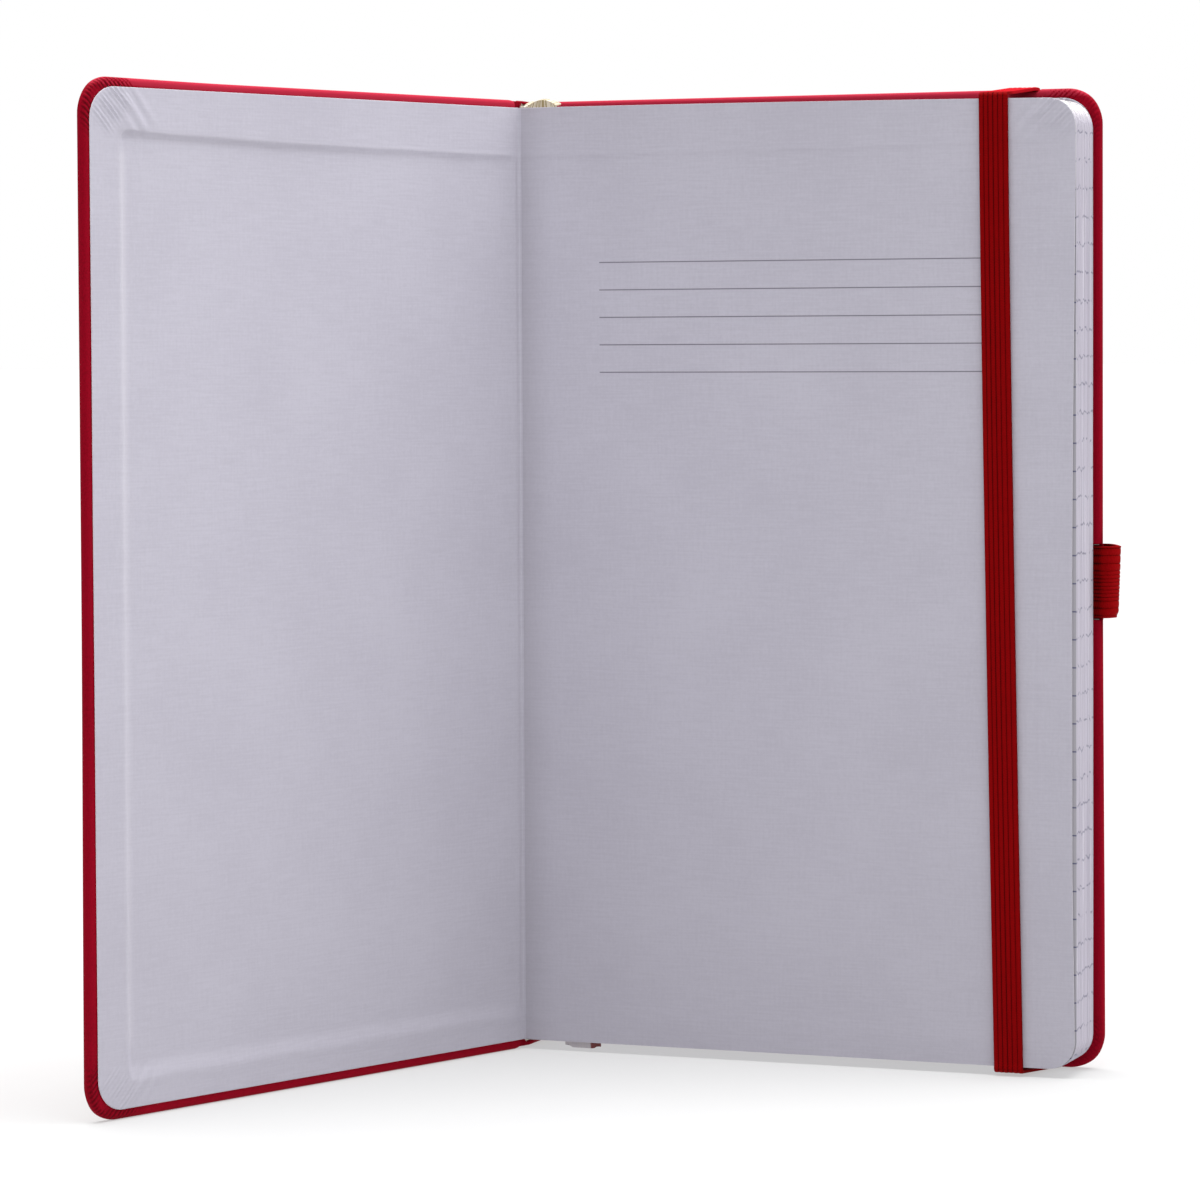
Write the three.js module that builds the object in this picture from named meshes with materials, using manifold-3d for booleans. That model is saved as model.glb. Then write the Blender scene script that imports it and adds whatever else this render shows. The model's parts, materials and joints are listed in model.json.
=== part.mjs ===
// A hardcover notebook that stands open on its tail edges, front cover swung to the left.
// Millimetres, +Z up. While it is built, X runs from the endpaper fold to the fore-edge, Y from
// the first leaf to the back cover, and Z is measured from the middle of the cover's height.
import * as THREE from 'three';
import { mergeVertices } from 'three/addons/utils/BufferGeometryUtils.js';
import Module from 'manifold-3d';

const wasm = await Module();
wasm.setup();

// The case: two boards and a spine card wrapped in one sheet of leatherette
const coverHeight = 210;
const coverReach = 128.4;
const coverCornerRadius = 7.3;
const coverEdgeRadius = 0.7;
const boardThickness = 1.5;
const boardSetback = 0.9;
const leatheretteThickness = 0.35;
const turnInHead = 12;
const turnInTail = 8;
const turnInFore = 11.2;
const turnInCornerRadius = 3;
const openAngle = 110.2;

// Fits: the glue line between two flat layers, the play at a joint and the play of a loose piece
const glueLine = 0.06;
const jointGap = 0.15;
const looseGap = 0.1;

// The endpapers: a pastedown on each board and a flyleaf at each end of the block
const endpaperThickness = 0.15;
const foldSetback = 0.15;
const pastedownMargin = 1.6;
const pastedownForeMargin = 1.7;
const pastedownCornerRadius = 6.6;
const pastedownDip = 0.22;
const dipSlope = 0.8;
const dipClearance = 0.4;
const flyleafInset = 1.1;

// The text block: sewn sections of folded leaves
const headSquare = 1.6;
const foreEdgeSquare = 1.5;
const leafCornerRadius = 5.9;
const sectionCount = 9;
const leavesPerSection = 16;
const leafThickness = 0.092;
const sectionGap = 0.04;

// The spine: thread, headbands, gauze, lining and card
const threadDiameter = 0.3;
const sewingRows = 5;
const sewingInset = 35.4;
const spineInset = 0.6;
const gauzeThickness = 0.13;
const gauzeInset = 23.4;
const gauzeFlange = 21;
const liningThickness = 0.1;
const liningInset = 3.4;
const cardThickness = 0.6;
const cardSetback = 2.95;
const shoulderRadius = 2.46;
const headbandDiameter = 1.4;
const headbandOverhang = 0.25;
const headbandSkirtThickness = 0.3;
const headbandSkirt = 13;

// The ribbon marker: glued to the spine, over the headband, down behind the front flyleaf
const ribbonWidth = 8.4;
const ribbonThickness = 0.22;
const ribbonGlued = 18;
const ribbonHeadReach = 5.65;
const ribbonTailReach = 13.9;
const ribbonTail = 1.3;

// The elastic closure: a loop round block and back cover, its ends in two slots of the back cover
const bandWidth = 6.4;
const bandThickness = 0.8;
const bandSqueezed = 0.5;
const bandSqueezedGap = 0.05;
const bandHeadInset = 19.9;
const bandTailInset = 16.7;
const wrapHeadInset = 17.1;
const wrapTailInset = 15.5;
const slotInset = 16.3;
const slotFromEdge = 12;
const slotClearance = 0.3;
const bandHook = 1.6;
const anchorThickness = 0.5;
const anchorLength = 15;

// The pen loop: an elastic strip doubled round the fore-edge of the back cover, both ends inside
const penLoopHeight = 15.3;
const penLoopCentre = -0.35;
const penLoopThickness = 0.8;
const penLoopTail = 10;
const penLoopNotch = 1.5;
const penLoopPlay = 0.3;

// Depths of the layers of a cover, measured outwards from its inner face
const turnInDepth = endpaperThickness + glueLine;
const boardDepth = turnInDepth + leatheretteThickness + glueLine;
const skinDepth = boardDepth + boardThickness + glueLine;
const coverThickness = skinDepth + leatheretteThickness;
const skinWall = leatheretteThickness + glueLine;

// Heights and reaches that follow from the sizes above
const halfHeight = coverHeight / 2;
const leafTop = halfHeight - headSquare;
const blockReach = coverReach - foreEdgeSquare;
const flyleafReach = blockReach - flyleafInset;
const sewingSpan = 2 * (leafTop - sewingInset);
const gauzeTop = leafTop - gauzeInset;
const liningTop = leafTop - liningInset;

// Depths of the text block, measured back from the face of the front flyleaf
const ribbonLayer = endpaperThickness + glueLine + ribbonThickness / 2;
const sectionThickness = leavesPerSection * leafThickness;
const sectionPitch = sectionThickness + sectionGap;
const sectionsFront = ribbonLayer + ribbonThickness / 2 + glueLine;
const sectionsBack = sectionsFront + sectionCount * sectionPitch - sectionGap;
const blockThickness = sectionsBack + glueLine + endpaperThickness;
const backCoverFace = blockThickness + glueLine;
const backCoverOutside = backCoverFace + coverThickness;

// Layers behind the block's spine, measured towards negative X
const threadLayer = glueLine + threadDiameter / 2;
const gauzeLayer = threadLayer + threadDiameter / 2 + glueLine;
const ribbonSpineLayer = glueLine + headbandSkirtThickness + glueLine;
const liningLayer = Math.max(gauzeLayer + gauzeThickness, ribbonSpineLayer + ribbonThickness) + glueLine;
const cardLayer = liningLayer + liningThickness + glueLine;
const spineSkinLayer = cardLayer + cardThickness + glueLine;
const spineOutside = spineSkinLayer + leatheretteThickness;

// The front cover turns about the endpaper fold, half a fold's play in front of the flyleaf
const hingeY = -looseGap;

const leatherette = { color: 0x9e0f20, roughness: 0.55, metalness: 0 };
const greyBoard = { color: 0x8c8478, roughness: 0.95, metalness: 0 };
const endpaper = { color: 0xbfbccb, roughness: 0.9, metalness: 0 };
const leafPaper = { color: 0xd8d3dc, roughness: 0.95, metalness: 0 };
const elastic = { color: 0x8a0512, roughness: 0.8, metalness: 0 };
const satin = { color: 0xd9cba8, roughness: 0.4, metalness: 0 };
const gauze = { color: 0xe8e4d8, roughness: 0.95, metalness: 0 };
const cotton = { color: 0xefeade, roughness: 0.8, metalness: 0 };

function toSolid(geometry) {
  const bare = geometry.clone();
  bare.deleteAttribute('normal');
  bare.deleteAttribute('uv');
  const merged = mergeVertices(bare);
  const vertProperties = new Float32Array(merged.attributes.position.array);
  const triVerts = new Uint32Array(merged.index.array);
  return new wasm.Manifold(new wasm.Mesh({ numProp: 3, vertProperties, triVerts }));
}

function toGeometry(solid) {
  const mesh = solid.getMesh();
  const geometry = new THREE.BufferGeometry();
  geometry.setAttribute('position', new THREE.BufferAttribute(mesh.vertProperties, 3));
  geometry.setIndex(new THREE.BufferAttribute(mesh.triVerts, 1));
  geometry.computeVertexNormals();
  return geometry;
}

function cut(base, ...tools) {
  return toGeometry(tools.reduce((solid, tool) => solid.subtract(toSolid(tool)), toSolid(base)));
}

function join(base, ...others) {
  return toGeometry(others.reduce((solid, other) => solid.add(toSolid(other)), toSolid(base)));
}

function common(base, other) {
  return toGeometry(toSolid(base).intersect(toSolid(other)));
}

function piece(name, geometry, finish, parent) {
  const mesh = new THREE.Mesh(geometry, new THREE.MeshStandardMaterial(finish));
  mesh.name = name;
  parent.add(mesh);
}

// A box between two corners
function block(x0, x1, y0, y1, z0, z1) {
  const geometry = new THREE.BoxGeometry(x1 - x0, Math.abs(y1 - y0), z1 - z0);
  return geometry.translate((x0 + x1) / 2, (y0 + y1) / 2, (z0 + z1) / 2);
}

// The outline of a leaf or cover in the X-Z plane: square at the spine, rounded at the fore-edge
function leafOutline(x0, x1, z0, z1, radius) {
  const outline = new THREE.Shape();
  outline.moveTo(x0, z0);
  outline.lineTo(x1 - radius, z0);
  outline.absarc(x1 - radius, z0 + radius, radius, -Math.PI / 2, 0);
  outline.absarc(x1 - radius, z1 - radius, radius, 0, Math.PI / 2);
  outline.lineTo(x0, z1);
  outline.closePath();
  return outline;
}

// An outline of the X-Z plane made solid between two values of Y, its long edges rounded
function plate(outline, y0, y1, edgeRadius = 0) {
  const geometry = new THREE.ExtrudeGeometry(outline, {
    depth: Math.abs(y1 - y0) - 2 * edgeRadius,
    curveSegments: 8,
    bevelEnabled: edgeRadius > 0,
    bevelThickness: edgeRadius,
    bevelSize: edgeRadius,
    bevelOffset: -edgeRadius,
    bevelSegments: 3,
  });
  geometry.rotateX(Math.PI / 2);
  return geometry.translate(0, Math.max(y0, y1) - edgeRadius, 0);
}

// An outline of the X-Y plane made solid between two heights
function column(outline, z0, z1) {
  const geometry = new THREE.ExtrudeGeometry(outline, { depth: z1 - z0, bevelEnabled: false });
  return geometry.translate(0, 0, z0);
}

// A box whose face at y1 is smaller all round than its face at y0
function taperedBlock(limits, y0, y1, taper) {
  const geometry = block(limits.x0, limits.x1, y0, y1, limits.z0, limits.z1);
  const corners = geometry.attributes.position;
  for (let i = 0; i < corners.count; i += 1) {
    if (Math.abs(corners.getY(i) - y1) < Math.abs(corners.getY(i) - y0)) {
      const x = corners.getX(i);
      const z = corners.getZ(i);
      corners.setX(i, x + taper * Math.sign((limits.x0 + limits.x1) / 2 - x));
      corners.setZ(i, z + taper * Math.sign((limits.z0 + limits.z1) / 2 - z));
    }
  }
  return geometry;
}

// A flat strip bent through stations, each with a centre, a direction across and a normal
function strip(stations, width) {
  const onwards = stations[1].at.clone().sub(stations[0].at);
  const forwards = stations[0].across.clone().cross(stations[0].normal).dot(onwards) > 0;
  if (!forwards) stations.reverse();
  const steps = stations.length - 1;
  const geometry = new THREE.BoxGeometry(1, 1, 1, 4, 1, steps);
  const corners = geometry.attributes.position;
  for (let i = 0; i < corners.count; i += 1) {
    const station = stations[Math.round((corners.getZ(i) + 0.5) * steps)];
    const corner = station.at.clone();
    corner.addScaledVector(station.across, corners.getX(i) * width);
    corner.addScaledVector(station.normal, corners.getY(i) * station.thickness);
    corners.setXYZ(i, corner.x, corner.y, corner.z);
  }
  return geometry;
}

// The leatherette of one cover: outer sheet, wrapped edges and turn-ins, open towards the spine
function coverSkin(face, side) {
  const depth = (value) => face + side * value;
  const spineCut = boardSetback - 2 * coverEdgeRadius - glueLine;
  const shell = leafOutline(spineCut, coverReach, -halfHeight, halfHeight, coverCornerRadius);
  const room = leafOutline(
    spineCut,
    coverReach - leatheretteThickness,
    leatheretteThickness - halfHeight,
    halfHeight - leatheretteThickness,
    coverCornerRadius - leatheretteThickness,
  );
  const opening = leafOutline(
    spineCut,
    coverReach - turnInFore,
    turnInTail - halfHeight,
    halfHeight - turnInHead,
    turnInCornerRadius,
  );
  return cut(
    plate(shell, depth(turnInDepth), depth(coverThickness), coverEdgeRadius),
    block(spineCut - 1, boardSetback, depth(0), depth(coverThickness + 1), -halfHeight - 1, halfHeight + 1),
    plate(room, depth(turnInDepth + leatheretteThickness), depth(skinDepth)),
    plate(opening, depth(0), depth(boardDepth)),
  );
}

function coverBoard(face, side) {
  const outline = leafOutline(
    boardSetback,
    coverReach - skinWall,
    skinWall - halfHeight,
    halfHeight - skinWall,
    coverCornerRadius - skinWall,
  );
  return plate(outline, face + side * boardDepth, face + side * (boardDepth + boardThickness));
}

// The endpaper glued to a board: it lies on the turn-ins and sinks to the board between them
function pastedown(face, side) {
  const depth = (value) => face + side * value;
  const outline = leafOutline(
    foldSetback,
    coverReach - pastedownForeMargin,
    pastedownMargin - halfHeight,
    halfHeight - pastedownMargin,
    pastedownCornerRadius,
  );
  const dip = {
    x0: boardSetback + dipClearance,
    x1: coverReach - turnInFore - dipClearance,
    z0: turnInTail + dipClearance - halfHeight,
    z1: halfHeight - turnInHead - dipClearance,
  };
  const hollow = {
    x0: dip.x0 + endpaperThickness,
    x1: dip.x1 - endpaperThickness,
    z0: dip.z0 + endpaperThickness,
    z1: dip.z1 - endpaperThickness,
  };
  const sheet = join(
    plate(outline, depth(0), depth(endpaperThickness)),
    taperedBlock(dip, depth(endpaperThickness / 2), depth(endpaperThickness + pastedownDip), dipSlope),
  );
  return cut(sheet, taperedBlock(hollow, depth(-pastedownDip), depth(pastedownDip), 2 * dipSlope));
}

// One folded section of leaves, its back rounded where the leaves are folded
function section(front) {
  const roundness = sectionThickness / 2;
  const back = new THREE.Shape();
  back.moveTo(roundness, front);
  back.lineTo(coverReach, front);
  back.lineTo(coverReach, front + sectionThickness);
  back.lineTo(roundness, front + sectionThickness);
  back.absarc(roundness, front + roundness, roundness, Math.PI / 2, (3 * Math.PI) / 2);
  const leaves = leafOutline(-1, blockReach, -leafTop, leafTop, leafCornerRadius);
  return common(plate(leaves, front - 1, front + sectionThickness + 1), column(back, -halfHeight, halfHeight));
}

function flyleaf(front) {
  const outline = leafOutline(foldSetback, flyleafReach, -leafTop, leafTop, leafCornerRadius);
  return plate(outline, front, front + endpaperThickness);
}

// A rolled band on the block's edge with a cloth skirt glued down the spine; end is 1 or -1
function headband(end) {
  const radius = headbandDiameter / 2;
  const length = sectionsBack - sectionsFront;
  const bead = new THREE.CylinderGeometry(radius, radius, length, 16);
  const beadZ = leafTop + glueLine + radius;
  bead.translate(radius - headbandOverhang, (sectionsFront + sectionsBack) / 2, end * beadZ);
  const low = Math.min(end * beadZ, end * (leafTop - headbandSkirt));
  const high = Math.max(end * beadZ, end * (leafTop - headbandSkirt));
  const skirtFront = -glueLine - headbandSkirtThickness;
  return join(bead, block(skirtFront, -glueLine, sectionsFront, sectionsBack, low, high));
}

function sewingRow(z) {
  const length = sectionsBack - sectionsFront - 2 * spineInset;
  const thread = new THREE.CylinderGeometry(threadDiameter / 2, threadDiameter / 2, length, 8);
  return thread.translate(-threadLayer, (sectionsFront + sectionsBack) / 2, z);
}

// The gauze that holds the block to the case: down the spine and under the back pastedown
function spineGauze() {
  const flangeDepth = backCoverFace + boardDepth - glueLine;
  const spineRun = block(
    -gauzeLayer - gauzeThickness,
    -gauzeLayer,
    sectionsFront + spineInset,
    flangeDepth,
    -gauzeTop,
    gauzeTop,
  );
  const flange = block(
    -gauzeLayer - gauzeThickness,
    gauzeFlange,
    flangeDepth - gauzeThickness,
    flangeDepth,
    -gauzeTop,
    gauzeTop,
  );
  return join(spineRun, flange);
}

// The spine's leatherette: flat over the card, lips over its ends, round the shoulder to the back
function spineSkin() {
  const centre = { x: shoulderRadius - spineOutside, y: backCoverOutside - shoulderRadius };
  const inner = shoulderRadius - leatheretteThickness;
  const profile = new THREE.Shape();
  profile.moveTo(-spineOutside, cardSetback);
  profile.absarc(centre.x, centre.y, shoulderRadius, Math.PI, Math.PI / 2, true);
  profile.lineTo(boardSetback - glueLine, backCoverOutside);
  profile.lineTo(boardSetback - glueLine, backCoverOutside - leatheretteThickness);
  profile.absarc(centre.x, centre.y, inner, Math.PI / 2, Math.PI);
  profile.lineTo(leatheretteThickness - spineOutside, cardSetback);
  profile.closePath();
  const cardBack = blockThickness - cardSetback;
  const lipInside = halfHeight - leatheretteThickness;
  const lips = [1, -1].map((end) => {
    const z0 = Math.min(end * lipInside, end * halfHeight);
    const z1 = Math.max(end * lipInside, end * halfHeight);
    return block(-spineOutside + leatheretteThickness / 2, -cardLayer, cardSetback, cardBack, z0, z1);
  });
  return join(column(profile, -halfHeight, halfHeight), ...lips);
}

// Where a point of the front cover, given shut, lies when the cover stands open
function opened(x, y) {
  const turned = new THREE.Vector2(x, y).rotateAround(new THREE.Vector2(), -THREE.MathUtils.degToRad(openAngle));
  return turned.add(new THREE.Vector2(0, hingeY));
}

// The flexing strip of leatherette between the front cover and the spine card
function frontJoint() {
  const skinMiddle = hingeY - coverThickness + leatheretteThickness / 2;
  const boardEnd = opened(boardSetback - jointGap, skinMiddle);
  const alongCover = opened(boardSetback, skinMiddle).sub(boardEnd).normalize();
  const spineEnd = new THREE.Vector2(leatheretteThickness / 2 - spineOutside, cardSetback - jointGap);
  const lead = spineEnd.distanceTo(boardEnd) / 3;
  const route = new THREE.CubicBezierCurve(
    spineEnd,
    spineEnd.clone().add(new THREE.Vector2(0, -lead)),
    boardEnd.clone().addScaledVector(alongCover, -lead),
    boardEnd,
  );
  const steps = 10;
  const left = [];
  const right = [];
  for (let i = 0; i <= steps; i += 1) {
    const middle = route.getPoint(i / steps);
    const along = route.getTangent(i / steps);
    const half = new THREE.Vector2(-along.y, along.x).multiplyScalar(leatheretteThickness / 2);
    left.push(middle.clone().add(half));
    right.unshift(middle.clone().sub(half));
  }
  const sag = skinWall + glueLine;
  return column(new THREE.Shape([...left, ...right]), sag - halfHeight, halfHeight - sag);
}

function station(x, y, z, across, normal, thickness) {
  const at = new THREE.Vector3(x, y, z);
  return { at, across: across.clone().normalize(), normal: normal.clone().normalize(), thickness };
}

// The ribbon: up the spine, over the headband with a quarter turn, then down between the leaves
function ribbonMarker() {
  const spineX = -ribbonSpineLayer - ribbonThickness / 2;
  const middle = (sectionsFront + sectionsBack) / 2 - spineInset;
  const beadRadius = headbandDiameter / 2;
  const bead = new THREE.Vector2(beadRadius - headbandOverhang, leafTop + glueLine + beadRadius);
  const overBead = bead.x - spineX;
  const stations = [];
  const add = (x, y, z, across, normal) => {
    const a = new THREE.Vector3(...across);
    const n = new THREE.Vector3(...normal);
    stations.push(station(x, y, z, a, n, ribbonThickness));
  };
  add(spineX, middle, bead.y - ribbonGlued, [0, 1, 0], [-1, 0, 0]);
  for (let i = 0; i <= 4; i += 1) {
    const turn = Math.PI - (i * Math.PI) / 6;
    const out = [Math.cos(turn), Math.sin(turn)];
    add(bead.x + overBead * out[0], middle, bead.y + overBead * out[1], [0, 1, 0], [out[0], 0, out[1]]);
  }
  const last = stations[stations.length - 1].at;
  const entry = new THREE.Vector3(ribbonHeadReach, ribbonLayer, leafTop);
  const turnSteps = 6;
  for (let i = 1; i <= turnSteps; i += 1) {
    const swing = (i / (turnSteps + 1)) * (Math.PI / 2);
    const x = last.x + (entry.x - last.x) * Math.sin(swing);
    const y = entry.y + (last.y - entry.y) * Math.cos(swing);
    const rise = (last.z - entry.z - 3 * ribbonThickness) * Math.cos(swing);
    const z = entry.z + 3 * ribbonThickness + rise;
    add(x, y, z, [Math.sin(swing), Math.cos(swing), 0], [0, -0.2 * Math.sin(swing), 1]);
  }
  add(entry.x, entry.y - ribbonThickness / 4, entry.z + 2 * ribbonThickness, [1, 0, 0], [0, -1, 1]);
  add(entry.x, entry.y, entry.z, [1, 0, 0], [0, -1, 0]);
  const runSteps = 8;
  const end = -leafTop - ribbonTail;
  for (let i = 1; i <= runSteps; i += 1) {
    const share = i / runSteps;
    const x = entry.x + (ribbonTailReach - ribbonHeadReach) * share;
    add(x, entry.y, entry.z + (end - entry.z) * share, [1, 0, 0], [0, -1, 0]);
  }
  return strip(stations, ribbonWidth);
}

const sideways = new THREE.Vector3(1, 0, 0);
const hookLayer = backCoverOutside + looseGap + bandThickness / 2;
const hookEnd = halfHeight - coverEdgeRadius - bandHook;
const strandLayer = looseGap + bandThickness / 2;

// Stations of an arc of the band in the Y-Z plane; angles are measured from +Y towards +Z
function bandArc(stations, centre, radius, from, to, x, thickness) {
  const steps = 4;
  for (let i = 0; i <= steps; i += 1) {
    const share = i / steps;
    const angle = from + (to - from) * share;
    const r = radius[0] + (radius[1] - radius[0]) * share;
    const t = thickness[0] + (thickness[1] - thickness[0]) * share;
    const normal = new THREE.Vector3(0, Math.cos(angle), Math.sin(angle));
    stations.push(station(x, centre.y + r * normal.y, centre.z + r * normal.z, sideways, normal, t));
  }
}

// The band from its hook behind the cover's head, down the leaves, to its hook behind the tail
function elasticBand() {
  const headX = coverReach - bandHeadInset;
  const tailX = coverReach - bandTailInset;
  const wrapHeadX = coverReach - wrapHeadInset;
  const wrapTailX = coverReach - wrapTailInset;
  const edgeCentre = backCoverOutside - coverEdgeRadius;
  const slope = Math.atan2(headSquare, backCoverFace);
  const full = bandThickness;
  const overCover = coverEdgeRadius + looseGap + full / 2;
  const underCover = coverEdgeRadius + bandSqueezedGap + bandSqueezed / 2;
  const stations = [];
  stations.push(station(wrapHeadX, hookLayer, hookEnd, sideways, new THREE.Vector3(0, 1, 0), full));
  const headEdge = { y: edgeCentre, z: halfHeight - coverEdgeRadius };
  bandArc(stations, headEdge, [overCover, overCover], 0, Math.PI / 2, wrapHeadX, [full, full]);
  const headLip = { y: backCoverFace, z: halfHeight };
  const lift = [strandLayer, strandLayer];
  bandArc(stations, headLip, lift, Math.PI / 2, Math.PI / 2 + slope, wrapHeadX, [full, full]);
  const leafHead = { y: 0, z: leafTop };
  bandArc(stations, leafHead, lift, Math.PI / 2 + slope, Math.PI, headX, [full, full]);
  const leafTail = { y: 0, z: -leafTop };
  bandArc(stations, leafTail, lift, Math.PI, (3 * Math.PI) / 2 - slope, tailX, [full, full]);
  const tailLip = { y: backCoverFace, z: -halfHeight };
  const squeezedLift = bandSqueezedGap + bandSqueezed / 2;
  const squeeze = [squeezedLift, squeezedLift];
  const thin = [bandSqueezed, bandSqueezed];
  bandArc(stations, tailLip, squeeze, (3 * Math.PI) / 2 - slope, (3 * Math.PI) / 2, wrapTailX, thin);
  const tailEdge = { y: edgeCentre, z: coverEdgeRadius - halfHeight };
  const fromTail = (3 * Math.PI) / 2;
  bandArc(stations, tailEdge, [underCover, overCover], fromTail, 2 * Math.PI, wrapTailX, [bandSqueezed, full]);
  stations.push(station(wrapTailX, hookLayer, -hookEnd, sideways, new THREE.Vector3(0, 1, 0), full));
  return strip(stations, bandWidth);
}

// The band's run on the outside of the back cover, from its hook to the slot; end is 1 or -1
function elasticLeg(end) {
  const fromX = coverReach - (end > 0 ? wrapHeadInset : wrapTailInset);
  const slotX = coverReach - slotInset;
  const slotZ = halfHeight - slotFromEdge;
  const bend = bandThickness / 2 + glueLine;
  const outward = new THREE.Vector3(0, 1, 0);
  const stations = [];
  stations.push(station(fromX, hookLayer, end * (hookEnd - glueLine), sideways, outward, bandThickness));
  const steps = 4;
  for (let i = 0; i <= steps; i += 1) {
    const angle = (i / steps) * (Math.PI / 2);
    const y = hookLayer - bend + bend * Math.cos(angle);
    const z = slotZ + bend - bend * Math.sin(angle);
    const normal = new THREE.Vector3(0, Math.cos(angle), -end * Math.sin(angle));
    stations.push(station(slotX, y, end * z, sideways, normal, bandThickness));
  }
  return strip(stations, bandWidth);
}

// The end of the band inside the slot and glued in a shallow recess of the board
function elasticAnchor(end) {
  const slotX = coverReach - slotInset;
  const slotZ = halfHeight - slotFromEdge;
  const recessLayer = backCoverFace + boardDepth + glueLine + anchorThickness / 2;
  const bend = anchorThickness / 2 + glueLine;
  const along = new THREE.Vector3(0, 0, -end);
  const start = backCoverOutside - glueLine;
  const stations = [];
  stations.push(station(slotX, start, end * slotZ, sideways, along, anchorThickness));
  const steps = 4;
  for (let i = 0; i <= steps; i += 1) {
    const angle = (i / steps) * (Math.PI / 2);
    const y = recessLayer + bend - bend * Math.sin(angle);
    const z = slotZ - bend + bend * Math.cos(angle);
    const normal = new THREE.Vector3(0, Math.sin(angle), -end * Math.cos(angle));
    stations.push(station(slotX, y, end * z, sideways, normal, anchorThickness));
  }
  const far = slotZ - anchorLength;
  const outward = new THREE.Vector3(0, 1, 0);
  stations.push(station(slotX, recessLayer, end * far, sideways, outward, anchorThickness));
  return strip(stations, bandWidth);
}

// The room that the band's end takes in the back cover: a slot right through and a recess
function anchorRoom(end) {
  const x0 = coverReach - slotInset - bandWidth / 2 - slotClearance;
  const x1 = coverReach - slotInset + bandWidth / 2 + slotClearance;
  const slotZ = halfHeight - slotFromEdge;
  const half = bandThickness / 2 + slotClearance / 2;
  const slot = [end * (slotZ - half), end * (slotZ + half)].sort((a, b) => a - b);
  const recess = [end * (slotZ - anchorLength - slotClearance), end * slotZ].sort((a, b) => a - b);
  const floor = backCoverFace + boardDepth + 2 * glueLine + anchorThickness;
  return [
    block(x0, x1, backCoverFace + turnInDepth, backCoverOutside + 1, slot[0], slot[1]),
    block(x0, x1, backCoverFace + turnInDepth, floor, recess[0], recess[1]),
  ];
}

// Centre line of the pen loop seen from above, as [past the fore-edge, behind the inner face]:
// out of the notch, forward round the edge, back behind the cover and home along its edge
const penLoopRoute = [
  [-0.1, 0.59],
  [0.8, -0.31],
  [2.4, -0.21],
  [3.45, 1.64],
  [2.7, 4.54],
  [1.5, 7.64],
  [-1.1, 10.14],
  [-4.5, 9.94],
  [-6.6, 7.24],
  [-6.1, 4.54],
  [-3.6, 3.43],
  [-0.6, 3.3],
  [0.95, 2.04],
];

// The pen loop: a doubled strip with its two ends glued together under the back pastedown
function penLoop() {
  const turns = penLoopRoute.map(([x, y]) => new THREE.Vector3(coverReach + x, backCoverFace + y, 0));
  const route = new THREE.CatmullRomCurve3(turns, true, 'centripetal');
  const steps = 56;
  const nose = 4;
  const outside = [];
  const inside = [];
  for (let i = 0; i < steps; i += 1) {
    const middle = route.getPointAt(i / steps);
    const along = route.getTangentAt(i / steps);
    const out = new THREE.Vector2(along.y, -along.x).multiplyScalar(penLoopThickness / 2);
    outside.push(new THREE.Vector2(middle.x + out.x, middle.y + out.y));
    if (i >= nose && i <= steps - nose) inside.push(new THREE.Vector2(middle.x - out.x, middle.y - out.y));
  }
  const ring = new THREE.Shape(outside);
  ring.holes.push(new THREE.Path(inside));
  const z0 = penLoopCentre - penLoopHeight / 2;
  const z1 = penLoopCentre + penLoopHeight / 2;
  const tailDepth = backCoverFace + turnInDepth + glueLine / 2;
  const tailStart = coverReach - foreEdgeSquare - penLoopTail;
  const tail = block(tailStart, coverReach, tailDepth, tailDepth + penLoopThickness, z0, z1);
  return join(column(ring, z0, z1), tail);
}

// The groove that the pen loop's ends are pressed into, and the notch where they leave the edge
function penLoopRoom() {
  const z0 = penLoopCentre - penLoopHeight / 2 - penLoopPlay;
  const z1 = penLoopCentre + penLoopHeight / 2 + penLoopPlay;
  const grooveStart = coverReach - foreEdgeSquare - penLoopTail - penLoopPlay;
  const notchStart = coverReach - foreEdgeSquare;
  const grooveFloor = backCoverFace + turnInDepth + penLoopThickness + 2 * glueLine;
  return [
    block(grooveStart, coverReach + 1, backCoverFace, grooveFloor, z0, z1),
    block(notchStart, coverReach + 1, backCoverFace, backCoverFace + penLoopNotch, z0, z1),
  ];
}

const notebook = new THREE.Group();
const standing = new THREE.Group();
const frontCover = new THREE.Group();
frontCover.position.set(0, hingeY, 0);
frontCover.rotation.z = -THREE.MathUtils.degToRad(openAngle);
standing.add(frontCover);
notebook.add(standing);

// The front cover, modelled shut and swung open about the fold
piece('front_cover_leatherette', coverSkin(hingeY, -1), leatherette, frontCover);
piece('front_board', coverBoard(hingeY, -1), greyBoard, frontCover);
piece('front_pastedown', pastedown(hingeY, -1), endpaper, frontCover);
const frontGauzeDepth = hingeY - boardDepth + glueLine;
const frontGauze = block(
  boardSetback,
  gauzeFlange,
  frontGauzeDepth,
  frontGauzeDepth + gauzeThickness,
  -gauzeTop,
  gauzeTop,
);
piece('front_hinge_gauze', frontGauze, gauze, frontCover);

// The back cover, with the slots and grooves of the elastics
const elasticRooms = [...anchorRoom(1), ...anchorRoom(-1), ...penLoopRoom()];
piece('back_cover_leatherette', cut(coverSkin(backCoverFace, 1), ...elasticRooms), leatherette, standing);
piece('back_board', cut(coverBoard(backCoverFace, 1), ...elasticRooms), greyBoard, standing);
piece('back_pastedown', pastedown(backCoverFace, 1), endpaper, standing);

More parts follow.
